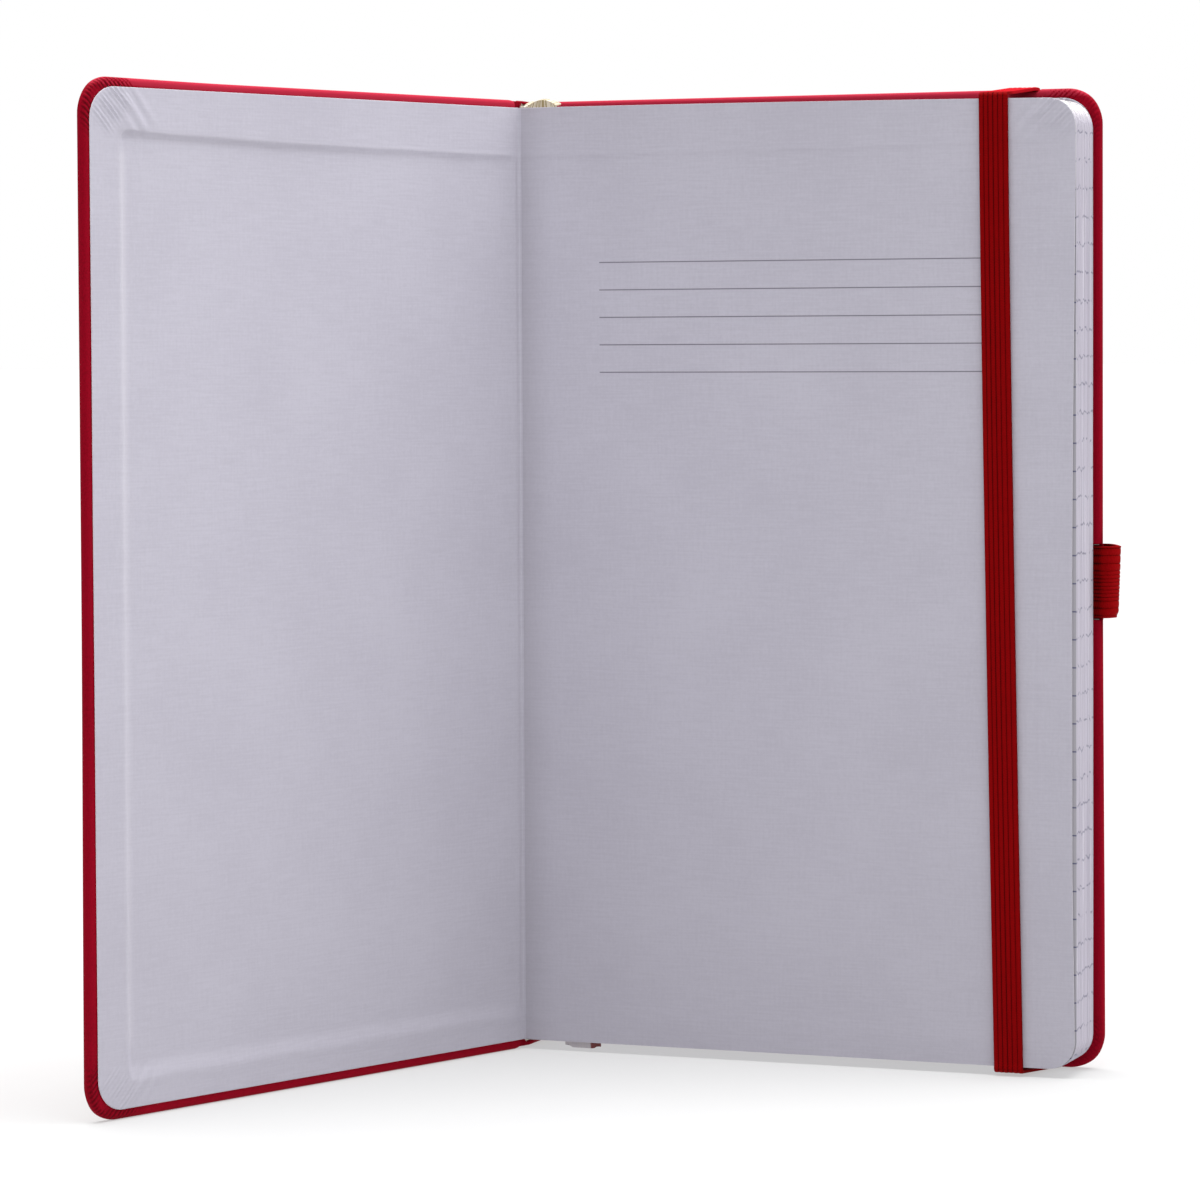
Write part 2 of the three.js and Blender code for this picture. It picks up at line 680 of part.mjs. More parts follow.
// The spine
const cardEnd = halfHeight - skinWall;
const card = block(
  -cardLayer - cardThickness,
  -cardLayer,
  cardSetback,
  blockThickness - cardSetback,
  -cardEnd,
  cardEnd,
);
const lining = block(
  -liningLayer - liningThickness,
  -liningLayer,
  sectionsFront + spineInset,
  sectionsBack - spineInset,
  -liningTop,
  liningTop,
);
piece('spine_leatherette', spineSkin(), leatherette, standing);
piece('front_joint_leatherette', frontJoint(), leatherette, standing);
piece('spine_card', card, greyBoard, standing);
piece('spine_lining', lining, leafPaper, standing);
piece('spine_gauze', spineGauze(), gauze, standing);
piece('headband', headband(1), cotton, standing);
piece('tailband', headband(-1), cotton, standing);
for (let row = 0; row < sewingRows; row += 1) {
  const z = sewingSpan * (row / (sewingRows - 1) - 0.5);
  piece(`sewing_row_${row + 1}`, sewingRow(z), cotton, standing);
}

// The text block between its two flyleaves
piece('front_flyleaf', flyleaf(0), endpaper, standing);
for (let i = 0; i < sectionCount; i += 1) {
  piece(`section_${i + 1}`, section(sectionsFront + i * sectionPitch), leafPaper, standing);
}
piece('back_flyleaf', flyleaf(sectionsBack + glueLine), endpaper, standing);
piece('ribbon_marker', ribbonMarker(), satin, standing);

// The elastics
piece('elastic_band', elasticBand(), elastic, standing);
piece('elastic_head_leg', elasticLeg(1), elastic, standing);
piece('elastic_tail_leg', elasticLeg(-1), elastic, standing);
piece('elastic_head_anchor', elasticAnchor(1), elastic, standing);
piece('elastic_tail_anchor', elasticAnchor(-1), elastic, standing);
piece('pen_loop', penLoop(), elastic, standing);

// The origin is under the middle of the whole object, on the surface that it stands on
notebook.updateMatrixWorld(true);
const bounds = new THREE.Box3().setFromObject(notebook, true);
const middle = bounds.getCenter(new THREE.Vector3());
standing.position.set(-middle.x, -middle.y, -bounds.min.z);

export default notebook;
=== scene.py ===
# %% [markdown]
# # A hardcover notebook, standing open
#
# A casebound notebook is a stack of folded leaves, sewn, lined at the spine and hung in a case of
# two boards covered with leatherette. Here it stands on its tail edges with the front cover swung
# open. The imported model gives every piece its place; this lesson gives each one its surface.

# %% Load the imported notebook
import json
import math

import bmesh
import bpy
import numpy as np
from mathutils import Matrix, Vector


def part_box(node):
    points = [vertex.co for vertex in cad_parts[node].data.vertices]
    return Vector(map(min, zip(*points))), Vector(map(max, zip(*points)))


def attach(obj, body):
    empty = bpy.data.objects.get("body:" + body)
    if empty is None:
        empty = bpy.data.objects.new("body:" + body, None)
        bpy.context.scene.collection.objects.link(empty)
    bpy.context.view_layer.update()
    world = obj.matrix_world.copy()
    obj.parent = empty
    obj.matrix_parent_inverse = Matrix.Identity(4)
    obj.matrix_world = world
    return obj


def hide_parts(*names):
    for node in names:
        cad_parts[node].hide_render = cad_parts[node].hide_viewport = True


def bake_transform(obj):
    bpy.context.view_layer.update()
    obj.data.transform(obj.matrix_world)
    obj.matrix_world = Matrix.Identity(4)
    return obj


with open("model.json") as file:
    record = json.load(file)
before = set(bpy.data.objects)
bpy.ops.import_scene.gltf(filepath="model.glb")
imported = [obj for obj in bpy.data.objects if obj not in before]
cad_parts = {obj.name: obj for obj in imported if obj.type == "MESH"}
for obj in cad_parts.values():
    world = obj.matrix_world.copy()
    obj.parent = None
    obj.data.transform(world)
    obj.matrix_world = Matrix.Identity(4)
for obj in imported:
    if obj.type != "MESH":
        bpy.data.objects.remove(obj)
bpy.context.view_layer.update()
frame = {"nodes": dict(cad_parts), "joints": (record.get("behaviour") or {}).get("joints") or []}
nodes = frame["nodes"]

# %% [markdown]
# ## The book's own frame
#
# A bookbinder measures from the fold of the endpapers, so x runs from the fold to the fore-edge,
# y from the first leaf to the back cover, and z from the middle of the book's height, all in
# millimetres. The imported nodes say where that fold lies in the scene. The leaves are shorter than
# the covers at head and tail by a narrow margin, the square.

# %% Millimetres in the book's frame
MM = 0.001
FOLD_SETBACK = 0.15
SQUARE = 1.6
leaf_low, leaf_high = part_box("front_flyleaf")
cover_low, cover_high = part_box("back_cover_leatherette")
FOLD = np.array([leaf_low.x / MM - FOLD_SETBACK, leaf_low.y / MM, (cover_low.z + cover_high.z) / 2 / MM])


def in_scene(points):
    """Points of the book's frame, in the scene's metres."""
    return (np.asarray(points, float) + FOLD) * MM


def depth_of(node, high=False):
    """How far behind the first leaf a node starts or ends."""
    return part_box(node)[int(high)].y / MM - FOLD[1]


REACH = cover_high.x / MM - FOLD[0]
HALF = (cover_high.z - cover_low.z) / 2 / MM
BACK_OUTSIDE = depth_of("back_cover_leatherette", high=True)
BACK_FACE = depth_of("back_pastedown")
LEAF_TOP = HALF - SQUARE
print("fold at", FOLD.round(2), "reach", round(REACH, 2), "half height", round(HALF, 2))

# %% [markdown]
# ## The front cover's swing
#
# The front cover turns about the fold. Every piece of it is drawn shut, lying on the book, and
# then swung open by one angle, so its drawing stays as simple as the back cover's.

# %% Swing a shut cover open
HINGE = frame["joints"][0]
OPEN = math.radians(110.2)
HINGE_Y = HINGE["pos_m"][1] / MM - FOLD[1]


def swung(points):
    """Points of the shut front cover, once it stands open."""
    points = np.asarray(points, float)
    cos, sin = math.cos(-OPEN), math.sin(-OPEN)
    x, y = points[:, 0], points[:, 1] - HINGE_Y
    return np.column_stack([x * cos - y * sin, HINGE_Y + x * sin + y * cos, points[:, 2]])


def on_front(flat):
    """A point of the front cover, given as (x, z, depth behind its inner face)."""
    return swung(np.column_stack([flat[:, 0], HINGE_Y - flat[:, 2], flat[:, 1]]))


def on_back(flat):
    """A point of the back cover, given as (x, z, depth behind its inner face)."""
    return np.column_stack([flat[:, 0], BACK_FACE + flat[:, 2], flat[:, 1]])


print("hinge line at y =", round(HINGE_Y, 3))

# %% [markdown]
# ## Shader formulas
#
# A finish is a few patterns added and multiplied. Writing them as node after node hides the
# formula, so one small class wraps a node's output and lets Python's own operators add the Math
# nodes. Any other node comes from one method.


# %% A wire that does sums
class Wire:
    """One output of a node, usable in a formula."""

    def __init__(self, finish, socket):
        self.finish, self.socket = finish, socket

    def sum_of(self, operation, first, second):
        return self.finish.node("ShaderNodeMath", {"operation": operation}, {0: first, 1: second})

    def __add__(self, other):
        return self.sum_of("ADD", self, other)

    def __radd__(self, other):
        return self.sum_of("ADD", other, self)

    def __sub__(self, other):
        return self.sum_of("SUBTRACT", self, other)

    def __rsub__(self, other):
        return self.sum_of("SUBTRACT", other, self)

    def __mul__(self, other):
        return self.sum_of("MULTIPLY", self, other)

    def __rmul__(self, other):
        return self.sum_of("MULTIPLY", other, self)

    def __truediv__(self, other):
        return self.sum_of("DIVIDE", self, other)

    def __pow__(self, other):
        return self.sum_of("POWER", self, other)


class Finish:
    """A Principled material whose formulas are written in Python."""

    def __init__(self, name, **steady):
        self.material = bpy.data.materials.new(name)
        self.material.use_nodes = True
        self.tree = self.material.node_tree
        self.shader = self.tree.nodes["Principled BSDF"]
        for socket, value in steady.items():
            self.shader.inputs[socket.replace("_", " ")].default_value = value

    def node(self, kind, settings=None, links=None, out=0):
        node = self.tree.nodes.new(kind)
        for name, value in (settings or {}).items():
            setattr(node, name, value)
        for name, value in (links or {}).items():
            if isinstance(value, Wire):
                self.tree.links.new(value.socket, node.inputs[name])
            else:
                node.inputs[name].default_value = value
        return Wire(self, node.outputs[out])

    def feed(self, socket, wire):
        self.tree.links.new(wire.socket, self.shader.inputs[socket])

    def ramp(self, value, low, high):
        """0 below low and 1 above high, eased in between."""
        links = {"Value": value, "From Min": low, "From Max": high}
        return self.node("ShaderNodeMapRange", {"interpolation_type": "SMOOTHSTEP"}, links)

    def sine(self, value):
        return self.node("ShaderNodeMath", {"operation": "SINE"}, {0: value})

    def size(self, value):
        return self.node("ShaderNodeMath", {"operation": "ABSOLUTE"}, {0: value})

    def colours(self, share, first, second):
        links = {"Factor": share, 6: first, 7: second}
        return self.node("ShaderNodeMix", {"data_type": "RGBA"}, links, out=2)

    def stretched(self, vector, x, y, z):
        return self.node("ShaderNodeVectorMath", {"operation": "MULTIPLY"}, {0: vector, 1: (x, y, z)})

    def noise(self, vector, scale, detail=3.0):
        return self.node("ShaderNodeTexNoise", {}, {"Vector": vector, "Scale": scale, "Detail": detail})

    def cells(self, vector, scale):
        return self.node("ShaderNodeTexVoronoi", {}, {"Vector": vector, "Scale": scale})

    def parts(self, vector):
        split = self.node("ShaderNodeSeparateXYZ", {}, {"Vector": vector})
        outputs = split.socket.node.outputs
        return [Wire(self, outputs[i]) for i in range(3)]

    def rules(self, height, top, pitch):
        """Rules a pitch apart: the number of the nearest one below top, and how far it is."""
        count = (top - height) / pitch
        nearest = self.node("ShaderNodeMath", {"operation": "ROUND"}, {0: count})
        return nearest, self.size(count - nearest) * pitch

    def relief(self, height, strength, reach):
        """Bump from a height in millimetres."""
        links = {"Height": height, "Strength": strength, "Distance": reach * MM}
        self.feed("Normal", self.node("ShaderNodeBump", {}, links))


print("formula class ready")

# %% [markdown]
# ## Where a pattern lies
#
# A weave has to follow its own strip round every bend, and a laid texture its own sheet. So each
# piece keeps, at every vertex, the place that vertex has when the piece is laid out flat. The
# attribute is named flat: millimetres along, millimetres across, and a tone of its own.


# %% Read the flat place in a shader
def flat_place(finish):
    return finish.node("ShaderNodeAttribute", {"attribute_name": "flat"}, {}, out=1)


def solid_place(finish):
    """Millimetres of the scene itself, for pieces that are simply covered all over."""
    coordinates = finish.node("ShaderNodeTexCoord", {}, {}, out=3)
    return finish.stretched(coordinates, 1 / MM, 1 / MM, 1 / MM)


# %% [markdown]
# ## Leatherette
#
# The case is covered with a coated cloth, pressed to look like fine leather: small pebbles a third
# of a millimetre across, a few faint stretch marks, and a colour that is never quite even. The
# pebbles are cells of a Voronoi pattern, too small to model, so they are relief only. The flat
# attribute's tone is 1 in the grooves between pleats, painted darker as shade, and -1 on the head
# rims, painted lighter as a highlight from above.

# %% Mix the leatherette
CLOUDS_PER_MM, PEBBLES_PER_MM, FINE_PEBBLES_PER_MM, MARKS_PER_MM = 0.06, 2.6, 6.5, 0.8
DEEP_RED, BRIGHT_RED = (0.23, 0.0008, 0.009, 1), (0.30, 0.0012, 0.013, 1)
# The darker red is painted shade in the pleat grooves; the lighter red is a painted highlight on the head
# rims.
GROOVE_SHADE_RED, HIGHLIGHT_RED = (0.05, 0.0004, 0.002, 1), (0.46, 0.022, 0.05, 1)
leatherette = Finish("leatherette", IOR=1.5, Specular_IOR_Level=0.04)
place = solid_place(leatherette)
cloud = leatherette.noise(place, CLOUDS_PER_MM)
pebbles = leatherette.cells(place, PEBBLES_PER_MM)
fine_pebbles = leatherette.cells(place, FINE_PEBBLES_PER_MM)
stretch = leatherette.noise(leatherette.stretched(place, 1.0, 1.0, 0.25), MARKS_PER_MM)
_, _, groove = leatherette.parts(flat_place(leatherette))
grained = leatherette.ramp(0.35 * cloud + 0.65 * pebbles, 0.2, 0.6)
even_red = leatherette.colours(grained, DEEP_RED, BRIGHT_RED)
# Painted highlight: the head rims are coloured lighter, as if lit from above.
painted_highlight = leatherette.colours(leatherette.ramp(-1 * groove, 0.0, 1.0), even_red, HIGHLIGHT_RED)
leatherette.feed("Base Color", leatherette.colours(0.8 * groove, painted_highlight, GROOVE_SHADE_RED))
leatherette.feed("Roughness", 0.5 + 0.16 * pebbles + 0.1 * cloud)
leatherette.relief(0.6 * pebbles + 0.3 * fine_pebbles + 0.5 * stretch, 0.35, 0.06)
print("leatherette:", len(leatherette.tree.nodes), "nodes")

# %% [markdown]
# ## Endpaper
#
# Endpapers are a heavier paper with a laid finish: faint lines across and down, from the mould.
# Stretched noise in both directions gives that linen look, and a slow cloud keeps it from looking
# printed. Towards the fold and the tail the paper is painted a little darker, as shade. The flat
# attribute's tone is 1 on a cut edge, a little over 0 where a painted highlight lies, and under 0
# where a painted shadow lies.


# %% Mix the endpaper
PAPER_LIGHT, PAPER_DARK = (0.602, 0.584, 0.668, 1), (0.545, 0.526, 0.607, 1)
# The grey is painted shade; the cut-edge colour also gives a painted highlight.
CUT_EDGE_AND_HIGHLIGHT, PAINTED_SHADE, INK = (0.90, 0.88, 0.92, 1), (0.30, 0.28, 0.32, 1), (0.13, 0.118, 0.155, 1)
# Spans over which painted shade darkens the paper near the fold and towards the tail.
FOLD_SHADE_SPAN, TAIL_SHADE_SPAN, TAIL_SHADE = (-3.0, 9.0), (-110.0, 60.0), 0.18


def laid_paper(name, fold_shade):
    paper = Finish(name, IOR=1.45, Roughness=0.85, Specular_IOR_Level=0.3)
    sheet = flat_place(paper)
    chain = paper.noise(paper.stretched(sheet, 0.13, 2.3, 0.0), 1.0, 2.0)
    wires = paper.noise(paper.stretched(sheet, 2.3, 0.16, 0.0), 1.0, 2.0)
    fibre = paper.noise(paper.stretched(sheet, 1.0, 1.0, 0.0), 1.4, 4.0)
    cloud = paper.noise(paper.stretched(sheet, 1.0, 1.0, 0.0), 0.035, 2.0)
    tooth = 0.65 * chain + 0.35 * wires
    mottle = 0.5 * tooth + 0.25 * fibre + 0.25 * cloud
    shade = paper.colours(paper.ramp(mottle, 0.36, 0.64), PAPER_DARK, PAPER_LIGHT)
    from_fold, up, tone = paper.parts(sheet)
    # Painted shade: darker near the fold, where the gutter is shaded.
    shade = paper.colours(fold_shade - fold_shade * paper.ramp(from_fold, *FOLD_SHADE_SPAN), shade, PAINTED_SHADE)
    # Painted shade: darker towards the tail, as if less light reached the bottom.
    shade = paper.colours(TAIL_SHADE - TAIL_SHADE * paper.ramp(up, *TAIL_SHADE_SPAN), shade, PAINTED_SHADE)
    # Painted shadow: a negative tone darkens the sheet.
    shade = paper.colours(-1 * tone, shade, PAINTED_SHADE)
    paper.relief(0.6 * tooth + 0.4 * fibre, 0.5, 0.05)
    # A tone up to 1 mixes towards the cut-edge colour: on cut edges, and as a painted highlight where it is
    # small.
    return paper, sheet, paper.colours(tone, shade, CUT_EDGE_AND_HIGHLIGHT)


endpaper, _, plain_shade = laid_paper("endpaper", 0.05)
endpaper.feed("Base Color", plain_shade)
print("endpaper:", len(endpaper.tree.nodes), "nodes")

# %% [markdown]
# ## The form on the flyleaf
#
# The flyleaf carries five ruled lines to write on. A ruled line is ink, not relief: the distance
# to the nearest line, measured down the sheet, picks the ink where it is under a tenth of a
# millimetre, and four ramps end the form at its left and right, above its first line and below its
# last.

# %% Rule the flyleaf
RULE_TOP, RULE_PITCH, RULE_COUNT = 69.1, 6.03, 5
RULE_START, RULE_END, INK_EDGE = 19.0, 108.5, (0.07, 0.17)
# The flyleaf gets stronger painted shade near the fold.
ruled_paper, sheet, paper_shade = laid_paper("ruled_endpaper", 0.4)
across, down, _ = ruled_paper.parts(sheet)
nearest, distance = ruled_paper.rules(down, RULE_TOP, RULE_PITCH)
ink = 1 - ruled_paper.ramp(distance, *INK_EDGE)
for value, low, high in (
    (across, RULE_START - 0.1, RULE_START), (-1 * across, -RULE_END, 0.1 - RULE_END),
    (nearest, -0.6, -0.4), (-1 * nearest, 0.4 - RULE_COUNT, 0.6 - RULE_COUNT),
):
    ink = ink * ruled_paper.ramp(value, low, high)
ruled_paper.feed("Base Color", ruled_paper.colours(ink * 0.8, paper_shade, INK))
print("ruled lines:", RULE_COUNT, "pitch", RULE_PITCH)

# %% [markdown]
# ## Leaves
#
# The leaves are thin writing paper. Their cut edges show as a fine stack in which each leaf has its
# own tone, and every printed rule reaches the trimmed edge. On the face of the first leaf it shows
# as a short dark tick in the margin beside the flyleaf, and on the cut edges, where no two leaves
# were printed quite alike, as a wavering grey trace. The tone comes from the flat attribute; a tone
# of 2 marks that first face, which is painted darker as the flyleaf's shadow. The rounded corner at
# the head is painted lighter as a highlight, and the head edges are darker.

# %% Mix the writing paper
LEAF_RULE_TOP, LEAF_RULE_PITCH = 95.2, 5.95
LEAF_LIGHT, LEAF_DARK, GREY_INK = (0.73, 0.70, 0.785, 1), (0.57, 0.54, 0.615, 1), (0.14, 0.14, 0.24, 1)
CORNER_HIGHLIGHT, CORNER_FROM, CORNER_TO = (0.95, 0.93, 0.92, 1), 97.5, 101.5
HEAD_LIGHT, HEAD_DARK, HEAD_FROM, HEAD_TO = (0.56, 0.54, 0.56, 1), (0.24, 0.225, 0.24, 1), 102.25, 102.6
# Painted shadow colour for the first leaf's face beside the flyleaf.
FIRST_LEAF_SHADOW = (0.47, 0.45, 0.50, 1)
leaf_paper = Finish("leaf_paper", IOR=1.45, Roughness=0.88, Specular_IOR_Level=0.3)
_, down, tone = leaf_paper.parts(flat_place(leaf_paper))
first_leaves = leaf_paper.ramp(tone, 1.4, 1.6)
stack_place = solid_place(leaf_paper)
wander = leaf_paper.noise(leaf_paper.stretched(stack_place, 0.3, 0.62, 0.11), 1.0, 1.0)
drift = (2.6 * wander - 0.9) * (1 - first_leaves)
_, distance = leaf_paper.rules(down - drift, LEAF_RULE_TOP, LEAF_RULE_PITCH)
speckle = leaf_paper.noise(stack_place, 2.2, 2.0)
patchy = leaf_paper.ramp(leaf_paper.noise(stack_place, 0.55, 1.0), 0.4, 0.55)
trace = 0.55 * patchy * (1 - leaf_paper.ramp(distance, 0.08, 0.32))
tick = (1 - leaf_paper.ramp(distance, 0.1, 0.22)) * 0.95
stack = leaf_paper.colours(tone, LEAF_DARK, LEAF_LIGHT)
# Painted highlight: the rounded corner at the head is coloured lighter.
stack = leaf_paper.colours(0.8 * leaf_paper.ramp(down, CORNER_FROM, CORNER_TO), stack, CORNER_HIGHLIGHT)
head_stack = leaf_paper.colours(tone, HEAD_DARK, HEAD_LIGHT)
stack = leaf_paper.colours(leaf_paper.ramp(down, HEAD_FROM, HEAD_TO), stack, head_stack)
# Painted shadow: the face of the first leaf beside the flyleaf is coloured darker.
stack = leaf_paper.colours(first_leaves, stack, FIRST_LEAF_SHADOW)
marked = trace * (1 - first_leaves) + tick * first_leaves
leaf_paper.feed("Base Color", leaf_paper.colours(marked, stack, GREY_INK))
leaf_paper.relief(speckle, 0.3, 0.04)
print("writing paper:", len(leaf_paper.tree.nodes), "nodes")

# %% [markdown]
# ## Ribbed elastic
#
# The closure and the pen loop are woven over rubber cords. The cords are modelled; what is left is
# the yarn that crosses them, a fine ladder of stitches, with painted shade in the valleys between
# the cords. The ladder runs with the strip because it is drawn in the flat place. A tone over 1 is
# painted lighter, as a highlight from above; the band has it where it lies over the head.


# %% Mix the elastic
VALLEY_SHADE_RED, YARN_RED = (0.02, 0.0001, 0.0002, 1), (0.27, 0.0007, 0.0016, 1)
# Painted highlight colour for yarn lit from above.
TOP_LIT_RED = (0.46, 0.004, 0.012, 1)
FULL_TURN = 2 * math.pi


def woven_elastic(name, cord_pitch, stitch):
    yarn = Finish(name, IOR=1.45, Specular_IOR_Level=0.05)
    strip = flat_place(yarn)
    along, across, tone = yarn.parts(strip)
    wobble = yarn.noise(strip, 0.8, 2.0)
    bow = 1.5 * yarn.sine(across * (FULL_TURN / cord_pitch))
    ladder = yarn.sine(along * (FULL_TURN / stitch) + bow)
    fuzz = yarn.noise(strip, 7.0, 3.0)
    level = yarn.ramp(0.8 * tone + 0.08 * ladder + 0.2 * fuzz + 0.15 * wobble, 0.35, 1.05)
    # Painted shade: a low tone in the valleys between the cords darkens the yarn.
    yarn_with_valley_shade = yarn.colours(level, VALLEY_SHADE_RED, YARN_RED)
    # Painted highlight: a tone over 1 turns the yarn lighter, as if lit from above.
    yarn.feed("Base Color", yarn.colours(yarn.ramp(tone, 1.1, 1.9), yarn_with_valley_shade, TOP_LIT_RED))
    yarn.feed("Roughness", 0.66 + 0.25 * fuzz)
    yarn.relief(0.4 * ladder + 0.6 * fuzz, 0.5, 0.06)
    return yarn


band_yarn = woven_elastic("band_elastic", 1.07, 0.55)
loop_yarn = woven_elastic("loop_elastic", 1.67, 0.5)
print("elastics mixed")

# %% [markdown]
# ## Satin, cotton, cloth and board
#
# The marker is a narrow cream satin ribbon, its sheen broken by the fine weft; at the head it is
# streaked with gold as painted shade, and at the tail it is painted grey as shade, with a russet
# painted shade along one edge. Headbands and thread are spun cotton, the lining cloth is an open
# gauze, and the boards are pressed grey waste paper with flecks in it.

# %% Mix the satin
WEFT_PITCH = 0.35
ARCH_SHADE_GOLD, CREAM = (0.38, 0.30, 0.15, 1), (0.88, 0.81, 0.69, 1)
# Painted shade colours for the ribbon's tail: grey, and russet along one edge.
TAIL_SHADE_GREY, RUSSET_SHADE = (0.44, 0.41, 0.46, 1), (0.16, 0.03, 0.03, 1)
satin = Finish("satin_ribbon", IOR=1.5, Specular_IOR_Level=0.4, Anisotropic=0.4)
strip = flat_place(satin)
along, across, _ = satin.parts(strip)
weft = satin.sine(along * (FULL_TURN / WEFT_PITCH))
thread = satin.noise(satin.stretched(strip, 0.15, 3.5, 1.0), 1.0, 2.0)
strand = satin.ramp(satin.noise(satin.stretched(strip, 0.05, 5.0, 1.0), 1.0, 0.0), 0.42, 0.58)
# Painted shade: gold streaks on the cream where the ribbon arches over the head.
arch_cream_and_shade = satin.colours(strand * 0.75, ARCH_SHADE_GOLD, CREAM)
# Painted shade: at the tail the cream ribbon is coloured grey.
tail_in_shade = satin.colours(thread * 0.3, TAIL_SHADE_GREY, CREAM)
length_shade = satin.colours(satin.ramp(along, 40.0, 190.0), arch_cream_and_shade, tail_in_shade)
# Painted shade: a russet edge along one side at the tail.
edge = satin.ramp(across, 1.6, 2.0) * satin.ramp(along, 60.0, 120.0)
satin.feed("Base Color", satin.colours(edge, length_shade, RUSSET_SHADE))
satin.feed("Roughness", 0.36 + 0.2 * thread)
satin.relief(0.5 * weft + 0.5 * thread, 0.3, 0.03)

# %% Mix the cotton and the lining paper
def fibrous(name, place_of, stretch, scale, detail, dark, light, depth, **steady):
    """One noise, stretched along the fibre, for both the colour and the relief."""
    finish = Finish(name, IOR=1.45, **steady)
    fibre = finish.noise(finish.stretched(place_of(finish), *stretch), scale, detail)
    finish.feed("Base Color", finish.colours(fibre, dark, light))
    finish.relief(fibre, depth, 0.05)
    return finish


cotton = fibrous("spun_cotton", flat_place, (2.0, 6.0, 1.0), 1.0, 3.0,
                 (0.62, 0.55, 0.44, 1), (0.86, 0.81, 0.70, 1), 0.5, Sheen_Weight=0.3, Roughness=0.8)
thread_cotton = fibrous("sewing_thread", solid_place, (1.0, 5.0, 5.0), 1.0, 3.0,
                        (0.66, 0.62, 0.54, 1), (0.88, 0.85, 0.78, 1), 0.5, Roughness=0.8)
plain_paper = fibrous("lining_paper", solid_place, (1.0, 1.0, 1.0), 1.6, 4.0,
                      (0.60, 0.56, 0.47, 1), (0.74, 0.70, 0.62, 1), 0.4, Roughness=0.9)

# %% Mix the gauze and the board
GAUZE_YARN, GAUZE_HOLE = (0.82, 0.79, 0.70, 1), (0.55, 0.52, 0.45, 1)
BOARD_FLECK, BOARD_GREY, BOARD_PULP = (0.16, 0.13, 0.10, 1), (0.34, 0.31, 0.27, 1), (0.42, 0.40, 0.36, 1)
gauze = Finish("lining_gauze", IOR=1.45, Roughness=0.9)
x, y, z = gauze.parts(solid_place(gauze))
holes = gauze.size(gauze.sine(z * math.pi)) * gauze.size(gauze.sine((x + y) * math.pi))
gauze.feed("Base Color", gauze.colours(gauze.ramp(holes, 0.3, 0.7), GAUZE_YARN, GAUZE_HOLE))
gauze.relief(1 - holes, 0.6, 0.08)

grey_board = Finish("grey_board", IOR=1.45, Roughness=0.93)
fleck = grey_board.cells(solid_place(grey_board), 1.1)
pulp = grey_board.noise(solid_place(grey_board), 0.7, 5.0)
flecked = grey_board.colours(grey_board.ramp(fleck, 0.05, 0.25), BOARD_FLECK, BOARD_GREY)
grey_board.feed("Base Color", grey_board.colours(0.5 * pulp, flecked, BOARD_PULP))
grey_board.relief(pulp, 0.6, 0.15)
print("satin, cotton, thread, gauze, board and lining paper mixed")

# %% [markdown]
# ## Making a piece
#
# Every piece is a mesh worked out in numbers: points in the book's frame, faces between them, and
# the flat place of each point. One function turns that into an object, hangs it on the body it
# moves with, and hides the plain solid that it stands for.


# %% Turn points and faces into a piece
def placed(name, data):
    """A new object for a mesh, a lamp or a camera, put in the scene."""
    thing = bpy.data.objects.new(name, data)
    bpy.context.scene.collection.objects.link(thing)
    return thing


def make_piece(name, points, faces, finish, body, stands_for, flat, crease=42):
    mesh = bpy.data.meshes.new(name)
    mesh.from_pydata([tuple(p) for p in in_scene(points)], [], [tuple(map(int, f)) for f in faces])
    layer = mesh.attributes.new("flat", "FLOAT_VECTOR", "POINT")
    layer.data.foreach_set("vector", np.asarray(flat, np.float32).ravel())
    tidy = bmesh.new()
    tidy.from_mesh(mesh)
    bmesh.ops.recalc_face_normals(tidy, faces=tidy.faces)
    tidy.to_mesh(mesh)
    tidy.free()
    mesh.shade_smooth()
    mesh.set_sharp_from_angle(angle=math.radians(crease))
    mesh.materials.append(finish.material)
    piece = placed(name, mesh)
    if body:
        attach(piece, body)
    if stands_for:
        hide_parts(*stands_for)
    print(f"{name}: {len(points)} points, {len(faces)} faces")
    return piece


# %% [markdown]
# ## Sheets and boards
#
# Covers, endpapers and pastedowns are all one shape: a slab, square at the spine and rounded at the
# two fore-edge corners. A grid of lines, close together where something happens, is bent so that
# its border follows the rounded corners. A front and a back are laid on it, each at its own depth,
# and a rim of extra rings joins them.


# %% Lay out the grid lines of a slab
def grid_lines(start, *stretches):
    """Lines from start on; each stretch is (where it ends, the spacing up to there)."""
    marks = [start]
    for end, spacing in stretches:
        count = max(1, round(abs(end - marks[-1]) / spacing))
        marks += list(np.linspace(marks[-1], end, count + 1)[1:])
    return np.array(marks)


def rounded_grid(xs, zs, radius):
    """The crossings of the lines, with the two fore-edge corners bent to quarter discs."""
    x, z = np.meshgrid(xs, zs)
    bent_x, bent_z = x.copy(), z.copy()
    for sign, corner in ((1, zs[-1] - radius), (-1, zs[0] + radius)):
        a = np.clip((x - xs[-1] + radius) / radius, 0, 1)
        b = np.clip(sign * (z - corner) / radius, 0, 1)
        most, least = np.maximum(a, b), np.minimum(a, b)
        turn = math.pi / 4 * least / np.where(most > 0, most, 1)
        turn = np.where(a >= b, turn, math.pi / 2 - turn)
        inside = (a > 0) & (b > 0)
        bent_x = np.where(inside, xs[-1] - radius + radius * most * np.cos(turn), bent_x)
        bent_z = np.where(inside, corner + sign * radius * most * np.sin(turn), bent_z)
    return bent_x, bent_z


